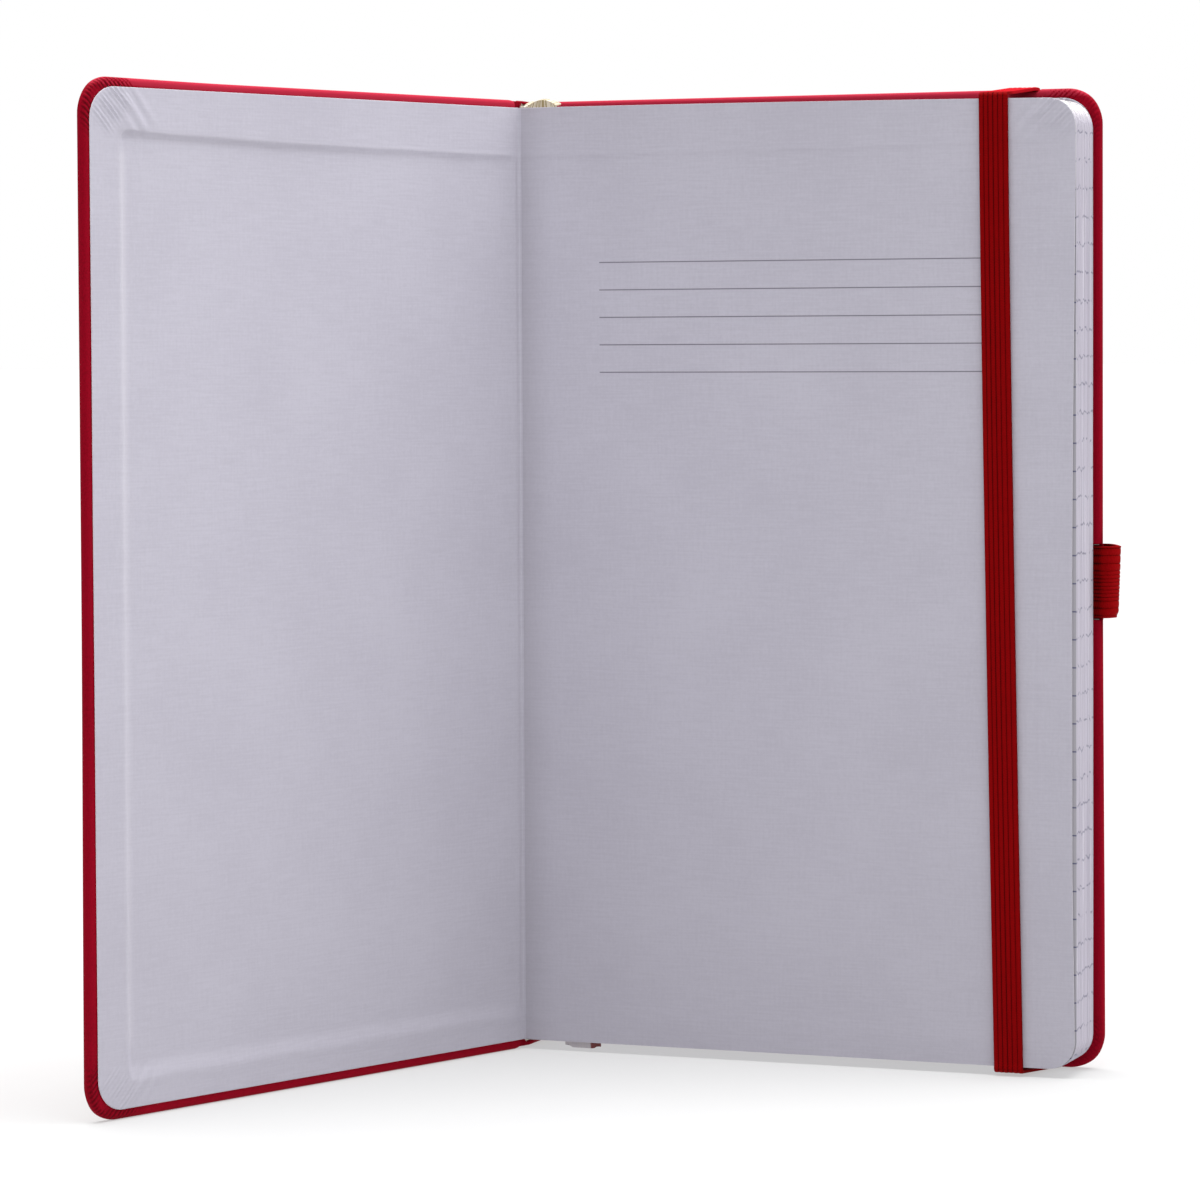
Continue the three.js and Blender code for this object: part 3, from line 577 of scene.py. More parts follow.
# %% Join a front and a back into a slab
def slab(xs, zs, radius, front, back, rim=()):
    """Points as (x, z, depth) and faces. The rim is rings of (outset, share of the thickness)."""
    x, z = rounded_grid(xs, zs, radius)
    rows, cols = x.shape
    index = np.arange(rows * cols).reshape(rows, cols)
    border = np.concatenate([index[0], index[1:, -1], index[-1, -2::-1], index[-2:0:-1, 0]])
    front_depth = np.broadcast_to(front(x, z), x.shape).ravel()
    back_depth = np.broadcast_to(back(x, z), x.shape).ravel()
    x, z = x.ravel(), z.ravel()
    edge_x, edge_z = x[border], z[border]
    out_x = (edge_x - np.minimum(edge_x, xs[-1] - radius)) / radius
    out_z = (edge_z - np.clip(edge_z, zs[0] + radius, zs[-1] - radius)) / radius
    points = [np.column_stack([x, z, front_depth]), np.column_stack([x, z, back_depth])]
    rings = [border]
    for outset, share in rim:
        depth = front_depth[border] + share * (back_depth - front_depth)[border]
        rings.append(sum(map(len, points)) + np.arange(len(border)))
        points.append(np.column_stack([edge_x + outset * out_x, edge_z + outset * out_z, depth]))
    rings.append(rows * cols + border)
    cell = index[:-1, :-1].ravel()
    quads = np.column_stack([cell, cell + 1, cell + cols + 1, cell + cols])
    faces = [quads, quads[:, ::-1] + rows * cols]
    for inner, outer in zip(rings, rings[1:]):
        faces.append(np.column_stack([inner, np.roll(inner, -1), np.roll(outer, -1), outer]))
    return np.concatenate(points), np.concatenate(faces)


print("slab helper ready")

# %% [markdown]
# ## Leatherette over a board
#
# The leatherette goes round the board's edges, so a cover's rim is round, and at the two fore-edge
# corners the extra material is gathered into two dozen small pleats. They lie side by side along
# the corner's diagonal, cut narrow grooves in the rim and fade towards the straight edges.

# %% Gather the pleats at a corner
PLEAT_PITCH, PLEAT_DEPTH, PLEAT_PINCH = 0.82, 0.12, 0.13
PLEATS_RISE, PLEATS_FALL = (-8.5, -5), (5.5, 10)
EDGE_ROUND, SPINE_CUT, CORNER = 1.0, 0.9, 7.3
COVER_THICK = BACK_OUTSIDE - BACK_FACE


def smooth_step(value, low, high):
    """0 below low and 1 above high, eased in between."""
    share = np.clip((np.asarray(value, float) - low) / (high - low), 0, 1)
    return share * share * (3 - 2 * share)


def window(value, rise, fall):
    """0, up to 1 over the first stretch, and down to 0 again over the second."""
    return smooth_step(value, *rise) * (1 - smooth_step(value, *fall))


def corner_place(x, z):
    """Distances from the nearer fore-edge corner: across its diagonal, and along it."""
    from_fore, from_end = REACH - x, HALF - np.abs(z)
    return (from_fore - from_end) / math.sqrt(2), (from_fore + from_end) / math.sqrt(2)


def pleats(x, z):
    """The grooves between the pleats, from 0 to 1."""
    beside, _ = corner_place(x, z)
    near = window(beside, PLEATS_RISE, PLEATS_FALL)
    wander = 0.6 * np.sin(0.9 * beside) + 0.3 * np.sin(2.3 * beside + 1)
    return near * (0.5 + 0.5 * np.sin(FULL_TURN * beside / PLEAT_PITCH + wander)) ** 2


def rim_of(radius, thickness, steps=5):
    """Rings round an edge of that radius, from the inner face to the outer one."""
    turns = np.linspace(0, math.pi / 2, steps)[1:]
    share = radius / thickness
    first = [(radius * math.sin(t), share * (1 - math.cos(t))) for t in turns]
    return first + [(outset, 1 - rise) for outset, rise in reversed(first)]


# %% Let the covers outgrow the board
SWELL_REACH, DENT = 7, (3.2, 3.9)


def swell(points, head, tail, fore, dents=()):
    """Push the rim outwards; where the closure passes round it, the rim stays dented."""
    near_head = smooth_step(points[:, 1], HALF - SWELL_REACH, HALF - EDGE_ROUND)
    near_tail = smooth_step(-points[:, 1], HALF - SWELL_REACH, HALF - EDGE_ROUND)
    for near, dent in zip((near_head, near_tail), dents):
        near *= smooth_step(np.abs(points[:, 0] - dent), *DENT)
    near_fore = smooth_step(points[:, 0], REACH - SWELL_REACH, REACH - EDGE_ROUND)
    low = smooth_step(-points[:, 1], -10, HALF)
    at_corner = smooth_step(points[:, 0], REACH - 40, REACH)
    points[:, 0] += (fore[0] + (fore[1] - fore[0]) * low) * near_fore
    points[:, 1] += (head[0] + (head[1] - head[0]) * at_corner) * near_head - tail * near_tail


# %% Draw the leatherette of a cover
TURN_IN_DEPTH, BOARD_DEPTH = 0.21, 0.6
SLOT_X, SLOT_Z = REACH - 16.3, HALF - 12
LOOP_MIDDLE, LOOP_TALL, NOTCH_DEPTH = -0.35, 15.3, 1.2
LOOP_TOP, LOOP_LOW = LOOP_MIDDLE + LOOP_TALL / 2, LOOP_MIDDLE - LOOP_TALL / 2
WRAP_HEAD_X, WRAP_TAIL_X = REACH - 17.1, REACH - 12.6


def cover_skin(notched):
    """Points, faces and flat places of a cover's skin; the back one has the loop's notch."""
    inset = REACH - EDGE_ROUND
    top = HALF - EDGE_ROUND
    xs = grid_lines(SPINE_CUT, (4, 0.5), (REACH - 22, 8), (REACH - 17, 1.5), (inset, 0.2))
    upper = grid_lines(LOOP_TOP + 0.6, (top - 18, 8), (top - 14, 1), (top, 0.2))
    lower = grid_lines(LOOP_LOW - 0.6, (18 - top, 8), (14 - top, 1), (-top, 0.2))
    near_loop = grid_lines(upper[0], (LOOP_TOP + 0.2, 0.4), (LOOP_LOW - 0.2, 3.5))
    zs = np.concatenate([upper[::-1], near_loop[1:], lower])[::-1]

    def front(x, z):
        edge = np.minimum(inset - x, top - np.abs(z))
        depth = TURN_IN_DEPTH + (BOARD_DEPTH - TURN_IN_DEPTH) * smooth_step(edge, 3, 5)
        depth = depth + PLEAT_DEPTH * pleats(x, z) * (1 - smooth_step(edge, 1.2, 3))
        if notched:
            beside = smooth_step(LOOP_TALL / 2 + 0.5 - np.abs(z - LOOP_MIDDLE), 0, 0.3)
            depth = depth + NOTCH_DEPTH * beside * smooth_step(x, inset - 1.4, inset - 0.4)
        return depth

    def back(x, z):
        sag = 0.05 * smooth_step(np.sin(x * 0.045 + 0.4) * np.cos(z * 0.031), -1, 1)
        if not notched:
            return COVER_THICK - sag
        apart = np.hypot((x - SLOT_X) / 4.2, (np.abs(z) - SLOT_Z) / 1.6)
        return COVER_THICK - sag - 0.18 * (1 - smooth_step(apart, 0.7, 1.3))

    rim = rim_of(EDGE_ROUND, COVER_THICK - TURN_IN_DEPTH)
    points, faces = slab(xs, zs, CORNER - EDGE_ROUND, front, back, rim)
    x, z, depth = points.T.copy()
    edge = np.maximum(x - inset + 2, 0) + np.maximum(np.abs(z) - top + 2, 0)
    # Painted shade: the grooves between the pleats are coloured darker.
    groove = pleats(x, z) * smooth_step(edge, 0.2, 1.0) * (1 - smooth_step(depth, 0.5, 1.3))
    groove *= 0.2 if notched else 1
    # Painted highlight: a mask of the head rims, whose colour is made lighter.
    painted_highlight = smooth_step(z, top - 1, top - 0.2) * (1 - smooth_step(depth, 1.2, 1.8))
    pinch = PLEAT_PINCH * groove * smooth_step(depth, TURN_IN_DEPTH, TURN_IN_DEPTH + 0.3)
    x -= pinch / math.sqrt(2)
    drop = 0.15 * (1 - smooth_step(x, SPINE_CUT, SPINE_CUT + 0.8))
    z -= np.sign(z) * (pinch / math.sqrt(2) + drop * (np.abs(z) > top - 1))
    points[:, :2] = np.column_stack([x, z])
    if notched:
        swell(points, (0.45, 0.5), 0.5, (0.2, 0.65), dents=(WRAP_HEAD_X, WRAP_TAIL_X))
    else:
        swell(points, (0.15, 0.45), 0.5, (0.05, 0.6))
    return points, faces, np.column_stack([points[:, :2], groove - 0.9 * painted_highlight * (groove < 0.1)])


for name, notched, body, put, node in (
    ("front_cover_skin", False, "front_cover", on_front, "front_cover_leatherette"),
    ("back_cover_skin", True, "book", on_back, "back_cover_leatherette"),
):
    points, faces, flat = cover_skin(notched)
    make_piece(name, put(points), faces, leatherette, body, [node], flat)

# %% [markdown]
# ## The spine
#
# At the spine the same leatherette lies flat over a strip of board, then bends round a shoulder to
# the back cover. A slab works here too: its x is read as a length along the spine's outline, and
# its depth as the distance inwards from it.

# %% Bend a slab along an outline
def lengths_along(places):
    """How far along a line each of its points lies."""
    steps = np.linalg.norm(np.diff(places, axis=0), axis=1)
    return np.concatenate([[0], np.cumsum(steps)])


def along_outline(outline, flat):
    """Points at (length along the outline, z, depth to its left)."""
    length = lengths_along(outline)
    slope = np.gradient(outline, length, axis=0)
    slope /= np.linalg.norm(slope, axis=1)[:, None]
    x, y, dx, dy = (np.interp(flat[:, 0], length, row) for row in (*outline.T, *slope.T))
    return np.column_stack([x + flat[:, 2] * dy, y - flat[:, 2] * dx, flat[:, 1]])


def bent_slab(outline, zs, inside, rim):
    """Points, faces and flat places of a slab whose outer face follows the outline."""
    length = lengths_along(outline)
    flat, faces = slab(length, zs, 0.01, lambda x, z: 0 * x, inside, rim)
    flat[:, 0] = np.clip(flat[:, 0], 0, length[-1])
    return along_outline(outline, flat), faces, flat * [1, 1, 0]


# %% Follow the spine's outline
card_low, card_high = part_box("spine_card")
skin_low, skin_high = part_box("spine_leatherette")
SPINE_X = skin_low.x / MM - FOLD[0]
SPINE_FRONT = card_low.y / MM - FOLD[1]
SHOULDER, SKIN_THICK, TURNED_IN = 2.46, 0.35, 1.1


def spine_outline(steps=14):
    turns = np.linspace(math.pi, math.pi / 2, steps)
    centre = np.array([SPINE_X + SHOULDER, BACK_OUTSIDE - SHOULDER])
    arc = centre + SHOULDER * np.column_stack([np.cos(turns), np.sin(turns)])
    flat_run = [[SPINE_X, SPINE_FRONT + t] for t in np.linspace(0, centre[1] - SPINE_FRONT, 8)[:-1]]
    return np.concatenate([flat_run, arc, [[SPINE_CUT - 0.02, BACK_OUTSIDE]]])


card_end = (card_high.z - card_low.z) / 2 / MM + 0.05
zs = grid_lines(-HALF - 0.2, (-card_end, 0.25), (4 - HALF, 0.6), (HALF - 4, 12), (card_end, 0.6),
                (HALF - 0.1, 0.25))


def spine_inside(x, z):
    """The leatherette's inner face; past the card's ends it is turned in over them."""
    return SKIN_THICK + TURNED_IN * (np.abs(z) >= card_end - 0.01) * (x > 0.3)


points, faces, flat = bent_slab(spine_outline(), zs, spine_inside, [(0.2, 0.1), (0.3, 0.5), (0.2, 0.9)])
make_piece("spine_skin", points, faces, leatherette, "book", ["spine_leatherette"], flat)

# %% [markdown]
# ## The flexing joint
#
# Between the front board and the spine the leatherette has nothing under it, and this is where the
# cover bends. The strip joins the two bodies, so it is one smooth sheet that runs from the book to
# the front cover. At head and tail it is turned in, and so double.

# %% Bend the joint
JOINT_SAG, TAIL_ROOM, DOUBLED, DOUBLED_AT_CARD = 0.1, 0.2, 0.66, 0.3


def bezier(controls, count):
    t = np.linspace(0, 1, count)[:, None]
    a, b, c, d = (np.array(p, float) for p in controls)
    return (1 - t) ** 3 * a + 3 * (1 - t) ** 2 * t * b + 3 * (1 - t) * t**2 * c + t**3 * d


board_y = HINGE_Y - COVER_THICK + 0.02
board_end, board_way = swung([[SPINE_CUT - 0.02, board_y, 0], [SPINE_CUT + 1, board_y, 0]])[:, :2]
board_way -= board_end
spine_end = np.array([SPINE_X, SPINE_FRONT - 0.02])
lead = np.linalg.norm(spine_end - board_end) / 3
joint_line = bezier([spine_end, spine_end + [0, -lead], board_end - lead * board_way, board_end], 18)[::-1]
joint_end = lengths_along(joint_line)[-1]
top = HALF - JOINT_SAG
zs = grid_lines(-HALF - TAIL_ROOM, (2 - top, 0.5), (top - 2, 12), (top, 0.5))


def joint_inside(x, z):
    """The inner face; at head and tail the turn-in doubles it, most of all over the card's edge."""
    ends = smooth_step(np.abs(z), HALF - 4, HALF - 3) * smooth_step(x, 0.0, 0.7)
    at_card = DOUBLED_AT_CARD * smooth_step(x, joint_end - 0.8, joint_end - 0.3)
    return SKIN_THICK + ends * (DOUBLED + at_card)


points, faces, flat = bent_slab(joint_line, zs, joint_inside, [(0.12, 0.2), (0.12, 0.8)])
joint_strip = make_piece("front_joint_skin", points, faces, leatherette, None,
                         ["front_joint_leatherette"], flat)
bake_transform(joint_strip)

# %% [markdown]
# ## Pastedowns
#
# A pastedown is the endpaper glued to a cover's inside. It lies on the turned-in leatherette at the
# rim and sinks to the board between, so the turn-ins print through as a soft step, and at the
# corners the gathered leatherette raises a fan of small ridges. Only a fine grid shows both.

# %% Mark the turn-ins and the corners
DIP, DIP_SLOPE = 0.42, 2.2
TURN_FORE, TURN_HEAD, TURN_TAIL, TURN_ROUND = 10.4, 11.5, 9.3, 3.0
STEEP, SHALLOW = 1.9, 0.6
PAPER_THICK, RIDGE_PITCH, FOLD_PITCH = 0.15, 0.95, 2.9


def head_turn_in(x):
    """How high the head turn-in's edge lies; it was cut a little askew."""
    return HALF - TURN_HEAD + 1.5 * np.clip((x - 60) / 70, 0, 1) ** 2 - 1.2 * (1 - x / REACH)


def turn_in_step(x, z):
    """0 on the turn-ins, 1 on the bare board, and a small lip between them."""
    sway = 0.25 * np.sin(0.31 * z + 0.4) + 0.2 * np.sin(0.23 * x)
    in_x = (REACH - TURN_FORE - x + sway) * STEEP
    in_z = np.minimum((head_turn_in(x) - z) * STEEP, (z + HALF - TURN_TAIL) * SHALLOW) + sway
    short_x, short_z = np.maximum(TURN_ROUND - in_x, 0), np.maximum(TURN_ROUND - in_z, 0)
    inside = TURN_ROUND - np.hypot(short_x, short_z)
    lip = np.exp(-(((inside + 1.3) / 0.8) ** 2))
    return smooth_step(inside, -DIP_SLOPE / 2, DIP_SLOPE / 2) - 0.15 * lip


def corner_ridges(x, z):
    """Fine ridges and broad folds along the diagonal of each fore-edge corner, up to 1 high."""
    beside, along = corner_place(x, z)
    fine = window(along, (4.5, 7.5), (10.5, 14.5)) * window(beside, (-5, -1), (5, 8))
    ripple = np.sin(FULL_TURN * beside / RIDGE_PITCH + 0.5 * np.sin(0.5 * along))
    fine *= (0.5 + 0.5 * ripple) ** 1.5
    broad = window(along, (8, 12), (16, 22)) * window(beside, (0, 4), (6, 11))
    broad *= 0.5 + 0.5 * np.sin(FULL_TURN * beside / FOLD_PITCH + 0.2 * along)
    return fine * (0.7 + 0.3 * np.sin(1.9 * beside)) + 0.9 * broad


# %% Shape a pastedown
PRESSED_AT_HEAD, PRESSED_AT_TAIL = 0.32, 0.12


def page_lines(end, run_up, coarse, fine):
    """Grid lines of a page, close together at the fold, the turn-ins and the edges."""
    xs = grid_lines(FOLD_SETBACK, (3, 0.6), (REACH - 24, 7), (REACH - run_up, coarse), (end, fine))
    return xs, grid_lines(-LEAF_TOP, (17 - HALF, fine), (HALF - 19, 7), (LEAF_TOP, fine))


def cut_edges(points, sheet_count):
    """The flat place of a sheet, with its cut rim marked."""
    return np.column_stack([points[:, :2], np.arange(len(points)) >= sheet_count])


def pastedown():
    xs, zs = page_lines(REACH - 1.7, 17, 0.7, 0.22)

    def front(x, z):
        slack = 0.02 * np.sin(z * 0.09 + 0.05 * x) * np.sin(x * 0.06)
        gutter = 0.03 * (1 - smooth_step(x, 0, 6))
        sunk = DIP * turn_in_step(x, z) * smooth_step(x, -1.5, 6)
        pressed = np.where(z > 0, PRESSED_AT_HEAD, PRESSED_AT_TAIL)
        return sunk - pressed * corner_ridges(x, z) + slack + gutter

    def back(x, z):
        return front(x, z) + PAPER_THICK

    points, faces = slab(xs, zs, 6.6, front, back, [(0.04, 0.2), (0.04, 0.8)])
    flat = cut_edges(points, 2 * len(xs) * len(zs))
    x, z = points[:, 0], points[:, 1]
    # Painted highlight: a light line along the step of the fore-edge turn-in.
    painted_highlight = np.exp(-(((REACH - TURN_FORE - 0.1 - x) / 1.1) ** 2)) * (0.19 + 0.07 * z / HALF)
    flat[:, 2] += painted_highlight * (1 - smooth_step(np.abs(z), HALF - 16, HALF - 12))
    # Painted shadow: a darker line below the step of the head turn-in.
    step_shadow = np.exp(-(((z - head_turn_in(x)) / 1.1) ** 2)) * smooth_step(x, -20, 110)
    flat[:, 2] -= 0.3 * step_shadow * (1 - smooth_step(x, REACH - 11, REACH - 8)) * (flat[:, 2] < 0.5)
    return points, faces, flat


pastedown_points, pastedown_faces, pastedown_flat = pastedown()
for name, body, put, node in (
    ("front_pastedown_sheet", "front_cover", on_front, "front_pastedown"),
    ("back_pastedown_sheet", "book", on_back, "back_pastedown"),
):
    make_piece(name, put(pastedown_points), pastedown_faces, endpaper, body, [node],
               pastedown_flat)

# %% [markdown]
# ## Flyleaves
#
# The flyleaf is the other half of the endpaper, glued by a narrow strip at the fold. It has lain
# against the cover, so the turn-ins and the corner ridges have left a faint mark in it too. The
# front one carries the ruled form.


# %% Shape a flyleaf
LEAF_CORNER, GHOST_AT_HEAD, GHOST_AT_TAIL = 5.9, 0.19, 0.03


def sag(x, z):
    """Standing up, the leaves hang a little lower at the fore-edge, most of all at the head."""
    return (0.45 + 0.3 * z / HALF) * np.clip(x / REACH, 0, 1) ** 2


def flyleaf(start, end, marked):
    xs, zs = page_lines(end, 18, 1.2, 0.3)

    def front(x, z):
        fold = 0.04 * (1 - smooth_step(x, 0, 5))
        ghost = np.where(z > 0, GHOST_AT_HEAD, GHOST_AT_TAIL) * corner_ridges(x - 1, z)
        return start + fold + marked * (0.06 * turn_in_step(x, z) - ghost)

    def back(x, z):
        return start + PAPER_THICK + 0 * x

    points, faces = slab(xs, zs, LEAF_CORNER, front, back, [(0.03, 0.2), (0.03, 0.8)])
    z = points[:, 1]
    reach = 0.28 + 0.82 * np.clip(z / 88, 0, 1) ** 1.4 + 0.5 * smooth_step(-z, 55, 105)
    points[:, 0] += marked * reach * smooth_step(points[:, 0], REACH - 30, end)
    points[:, 1] -= sag(points[:, 0], z)
    return points, faces, cut_edges(points, 2 * len(xs) * len(zs))


def on_leaves(flat):
    return np.column_stack([flat[:, 0], flat[:, 2], flat[:, 1]])


fly_reach = leaf_high.x / MM - FOLD[0]
for name, node, paper, marked in (
    ("front_flyleaf_sheet", "front_flyleaf", ruled_paper, 1),
    ("back_flyleaf_sheet", "back_flyleaf", endpaper, 0),
):
    points, faces, flat = flyleaf(depth_of(node), fly_reach, marked)
    make_piece(name, on_leaves(points), faces, paper, "book", [node], flat)

# %% [markdown]
# ## The fold of the endpaper
#
# Pastedown and flyleaf are one sheet, folded where the cover turns. The narrow strip at the fold
# belongs to both, so it runs from the book to the front cover and closes the gutter.

# %% Fold the endpaper
FOLD_ROOM, FOLD_OUT = 0.6, np.array([-0.55, 0.83, 0]) * 0.07
leaf_side = np.array([[FOLD_ROOM, 0.035, 0], [0.3, 0.02, 0], [0.1, -0.01, 0]])
cover_side = swung([[0.1, HINGE_Y + 0.01, 0], [0.3, HINGE_Y - 0.02, 0], [FOLD_ROOM, HINGE_Y - 0.035, 0]])
fold_line = np.concatenate([leaf_side, [[-0.02, HINGE_Y / 2 - 0.01, 0]], cover_side])
fold_zs = np.linspace(-LEAF_TOP, LEAF_TOP, 31)
columns, rows = len(fold_line), len(fold_zs)
fold_points = np.repeat(fold_line[None], rows, axis=0)
fold_points[:, :, 2] = fold_zs[:, None]
fold_back = fold_points + FOLD_OUT
fold_back[:, [0, -1]] = fold_points[:, [0, -1]] + FOLD_OUT * 0.3
fold_points = np.concatenate([fold_points.reshape(-1, 3), fold_back.reshape(-1, 3)])
corner = np.array([r * columns + c for r in range(rows - 1) for c in range(columns - 1)])
front_faces = np.column_stack([corner, corner + 1, corner + columns + 1, corner + columns])
size = rows * columns
fold_faces = [list(f) for f in front_faces] + [list(f[::-1] + size) for f in front_faces]
rim = [r * columns for r in range(rows)], [r * columns + columns - 1 for r in range(rows)]
for line in (*rim, list(range(columns)), list(range((rows - 1) * columns, size))):
    fold_faces += [[a, b, b + size, a + size] for a, b in zip(line, line[1:])]
fold_flat = np.column_stack([fold_points[:, 0] * 0 + 0.3, fold_points[:, 2], fold_points[:, 0] * 0])
fold_strip = make_piece("endpaper_fold", fold_points, fold_faces, endpaper, None, [],
                        fold_flat, crease=80)
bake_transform(fold_strip)

# %% [markdown]
# ## The text block
#
# Nine sections of folded leaves are sewn through their folds. Each leaf is its own thin sheet here,
# because the trimmed edges are what the eye meets: no two leaves end at quite the same place. The
# numbers are seeded, so the same book comes out every time.

# %% Stack the leaves of a section
SECTIONS, LEAVES, LEAF_GAP, FIRST_FACE = 9, 16, 0.006, 2
trim = np.random.default_rng(21)


def leaf_outline(start, end, top, radius):
    turns = np.linspace(-math.pi / 2, 0, 9)
    low = [[end - radius + radius * math.cos(t), -top + radius + radius * math.sin(t)] for t in turns]
    side = [[end, z] for z in np.linspace(radius - top, top - radius, 26)[1:-1]]
    high = [[x, -z] for x, z in reversed(low)]
    return np.array([[start, -top], *low, *side, *high, [start, top]])


def stack_of_leaves(front, back, number):
    """Leaves between two depths, their folded backs rounded together."""
    points, faces, flat = [], [], []
    middle, half = (front + back) / 2, (back - front) / 2
    pitch = (back - front) / LEAVES
    for i in range(LEAVES):
        y = front + i * pitch
        off = min(abs(y + pitch / 2 - middle) / half, 0.98)
        start = half * (1 - math.sqrt(1 - off * off))
        end = block_reach + trim.normal(0, 0.035)
        outline = leaf_outline(start, end, LEAF_TOP + trim.normal(0, 0.02), LEAF_CORNER)
        wave = 0.03 * np.sin(outline[:, 1] * 0.05 + trim.uniform(0, 6)) * (outline[:, 0] > end - 0.01)
        outline[:, 0] += wave
        outline[:, 1] -= sag(outline[:, 0], outline[:, 1])
        n, at = len(outline), sum(map(len, points))
        for depth in (y + LEAF_GAP, y + pitch - LEAF_GAP):
            tone = FIRST_FACE if number == 1 and depth < front + 0.01 else trim.uniform()
            points.append(np.column_stack([outline[:, 0], np.full(n, depth), outline[:, 1]]))
            flat.append(np.column_stack([outline, np.full(n, tone)]))
        ring = np.arange(n)
        faces += [list(at + ring), list(at + n + ring[::-1])]
        faces += [[at + a, at + (a + 1) % n, at + n + (a + 1) % n, at + n + a] for a in ring]
    return np.concatenate(points), faces, np.concatenate(flat)


block_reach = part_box("section_1")[1].x / MM - FOLD[0]
for i in range(1, SECTIONS + 1):
    node = f"section_{i}"
    points, faces, flat = stack_of_leaves(depth_of(node), depth_of(node, high=True), i)
    make_piece(f"leaves_{i}", points, faces, leaf_paper, "book", [node], flat, crease=30)

# %% [markdown]
# ## Strips that bend
#
# The marker, the closure and the pen loop are strips. A strip is drawn as stations along its middle,
# each with the way across and the way out, and one cross-section is carried through all of them.
# More stations are put between those given, on a curve through them or on the lines between them.


# %% Carry a cross-section along a strip
def with_unit_ways(rows):
    """The same stations, with their ways across and out made one long."""
    for part in (slice(3, 6), slice(6, 9)):
        rows[:, part] /= np.linalg.norm(rows[:, part], axis=1)[:, None]
    return rows


def tube_faces(rings, sides):
    """Faces round and along a tube of rings, with a face at each end."""
    faces = [[i * sides + j, i * sides + (j + 1) % sides,
              (i + 1) * sides + (j + 1) % sides, (i + 1) * sides + j]
             for i in range(rings - 1) for j in range(sides)]
    return faces + [list(range(sides)), list(range((rings - 1) * sides, rings * sides))[::-1]]


def stations_through(stations, count):
    """A smooth curve through rows of (place, across, out, thickness)."""
    rows = np.array(stations, float)
    gaps = np.linalg.norm(np.diff(rows[:, :3], axis=0), axis=1)
    knots = np.concatenate([[0], np.cumsum(np.maximum(gaps, 1e-6) ** 0.5)])
    slopes = np.gradient(rows, knots, axis=0)
    at = np.linspace(0, knots[-1], count)
    k = np.clip(np.searchsorted(knots, at, "right") - 1, 0, len(knots) - 2)
    span = (knots[k + 1] - knots[k])[:, None]
    t = (at - knots[k])[:, None] / span
    smooth = (
        (2 * t**3 - 3 * t**2 + 1) * rows[k] + (t**3 - 2 * t**2 + t) * span * slopes[k]
        + (3 * t**2 - 2 * t**3) * rows[k + 1] + (t**3 - t**2) * span * slopes[k + 1]
    )
    return with_unit_ways(smooth)


def strip_mesh(stations, section):
    """section: rows of (millimetres across, share of the thickness, tone)."""
    places, across, out, thick = stations[:, :3], stations[:, 3:6], stations[:, 6:9], stations[:, 9]
    n, m = len(stations), len(section)
    width, rise, tone = section.T
    points = places[:, None] + width[None, :, None] * across[:, None]
    points = points + (rise[None, :] * thick[:, None])[..., None] * out[:, None]
    rows = (lengths_along(places)[:, None], width, tone)
    flat = np.stack([np.broadcast_to(row, (n, m)) for row in rows], axis=-1)
    return points.reshape(-1, 3), tube_faces(n, m), flat.reshape(-1, 3)


def ribbed_section(widths, seed, per_cord=8, valley=0.5, fill=0.5):
    """A flat elastic seen end on: a row of cords, each a little different."""
    make = np.random.default_rng(seed)
    widths = np.array(widths) * (1 + make.normal(0, 0.04, len(widths)))
    edges = np.concatenate([[0], np.cumsum(widths)])
    edges -= edges[-1] / 2
    top = []
    heights, depths = 0.5 - 0.05 * make.uniform(0, 1, len(widths)), make.uniform(0.45, 1, len(widths))
    for low, high, tall, deep in zip(edges, edges[1:], heights, depths):
        for turn in np.linspace(0, math.pi, per_cord, endpoint=False):
            swell = math.sin(turn) ** 0.5 if turn else 0
            x = (low + high) / 2 - (high - low) / 2 * math.cos(turn)
            # The third value is the tone, low in the valleys between cords, where it paints shade.
            top.append([x, tall * (fill + (1 - fill) * swell), 1 - deep * (1 - swell ** (2 * valley))])
    bottom = [[x, -y, tone] for x, y, tone in reversed(top[1:])]
    ends = [edges[0], 0.0, 0.9], [edges[-1], 0.0, 0.9]
    return np.array([ends[0], *top[1:], ends[1], *bottom])


print("strip helpers ready")

# %% [markdown]
# ## The elastic closure
#
# The band starts behind the back cover, comes over the head edges, runs down over the leaves and
# goes round the tail edges to the back again. Only its two ends are fixed, in slots of the back
# cover. Its route is that of the solid that it stands for, worked out again with rounder turns.

# %% Lay the band round the book
BAND_WIDTH, BAND_THICK, BAND_GAP, BAND_THIN = 6.4, 0.8, 0.1, 0.5
HEAD_X, TAIL_X = REACH - 19.3, REACH - 16.2
EDGE_TURN, HOOK_RUN, THIN_GAP = 0.7, 1.6, 0.05
HOOK_Y = BACK_OUTSIDE + BAND_GAP + BAND_THICK / 2
HOOK_Z = HALF - EDGE_TURN - HOOK_RUN


def band_row(x, y, z, out_y, out_z, thick=BAND_THICK):
    return [x, y, z, 1, 0, 0, 0, out_y, out_z, thick]


def band_turn(x, y, z, radius, start, end, thick=(BAND_THICK, BAND_THICK), count=7):
    rows = []
    for share in np.linspace(0, 1, count):
        turn = start + (end - start) * share
        r = radius[0] + (radius[1] - radius[0]) * share
        t = thick[0] + (thick[1] - thick[0]) * share
        c, s = math.cos(turn), math.sin(turn)
        rows.append(band_row(x, y + r * c, z + r * s, c, s, t))
    return rows


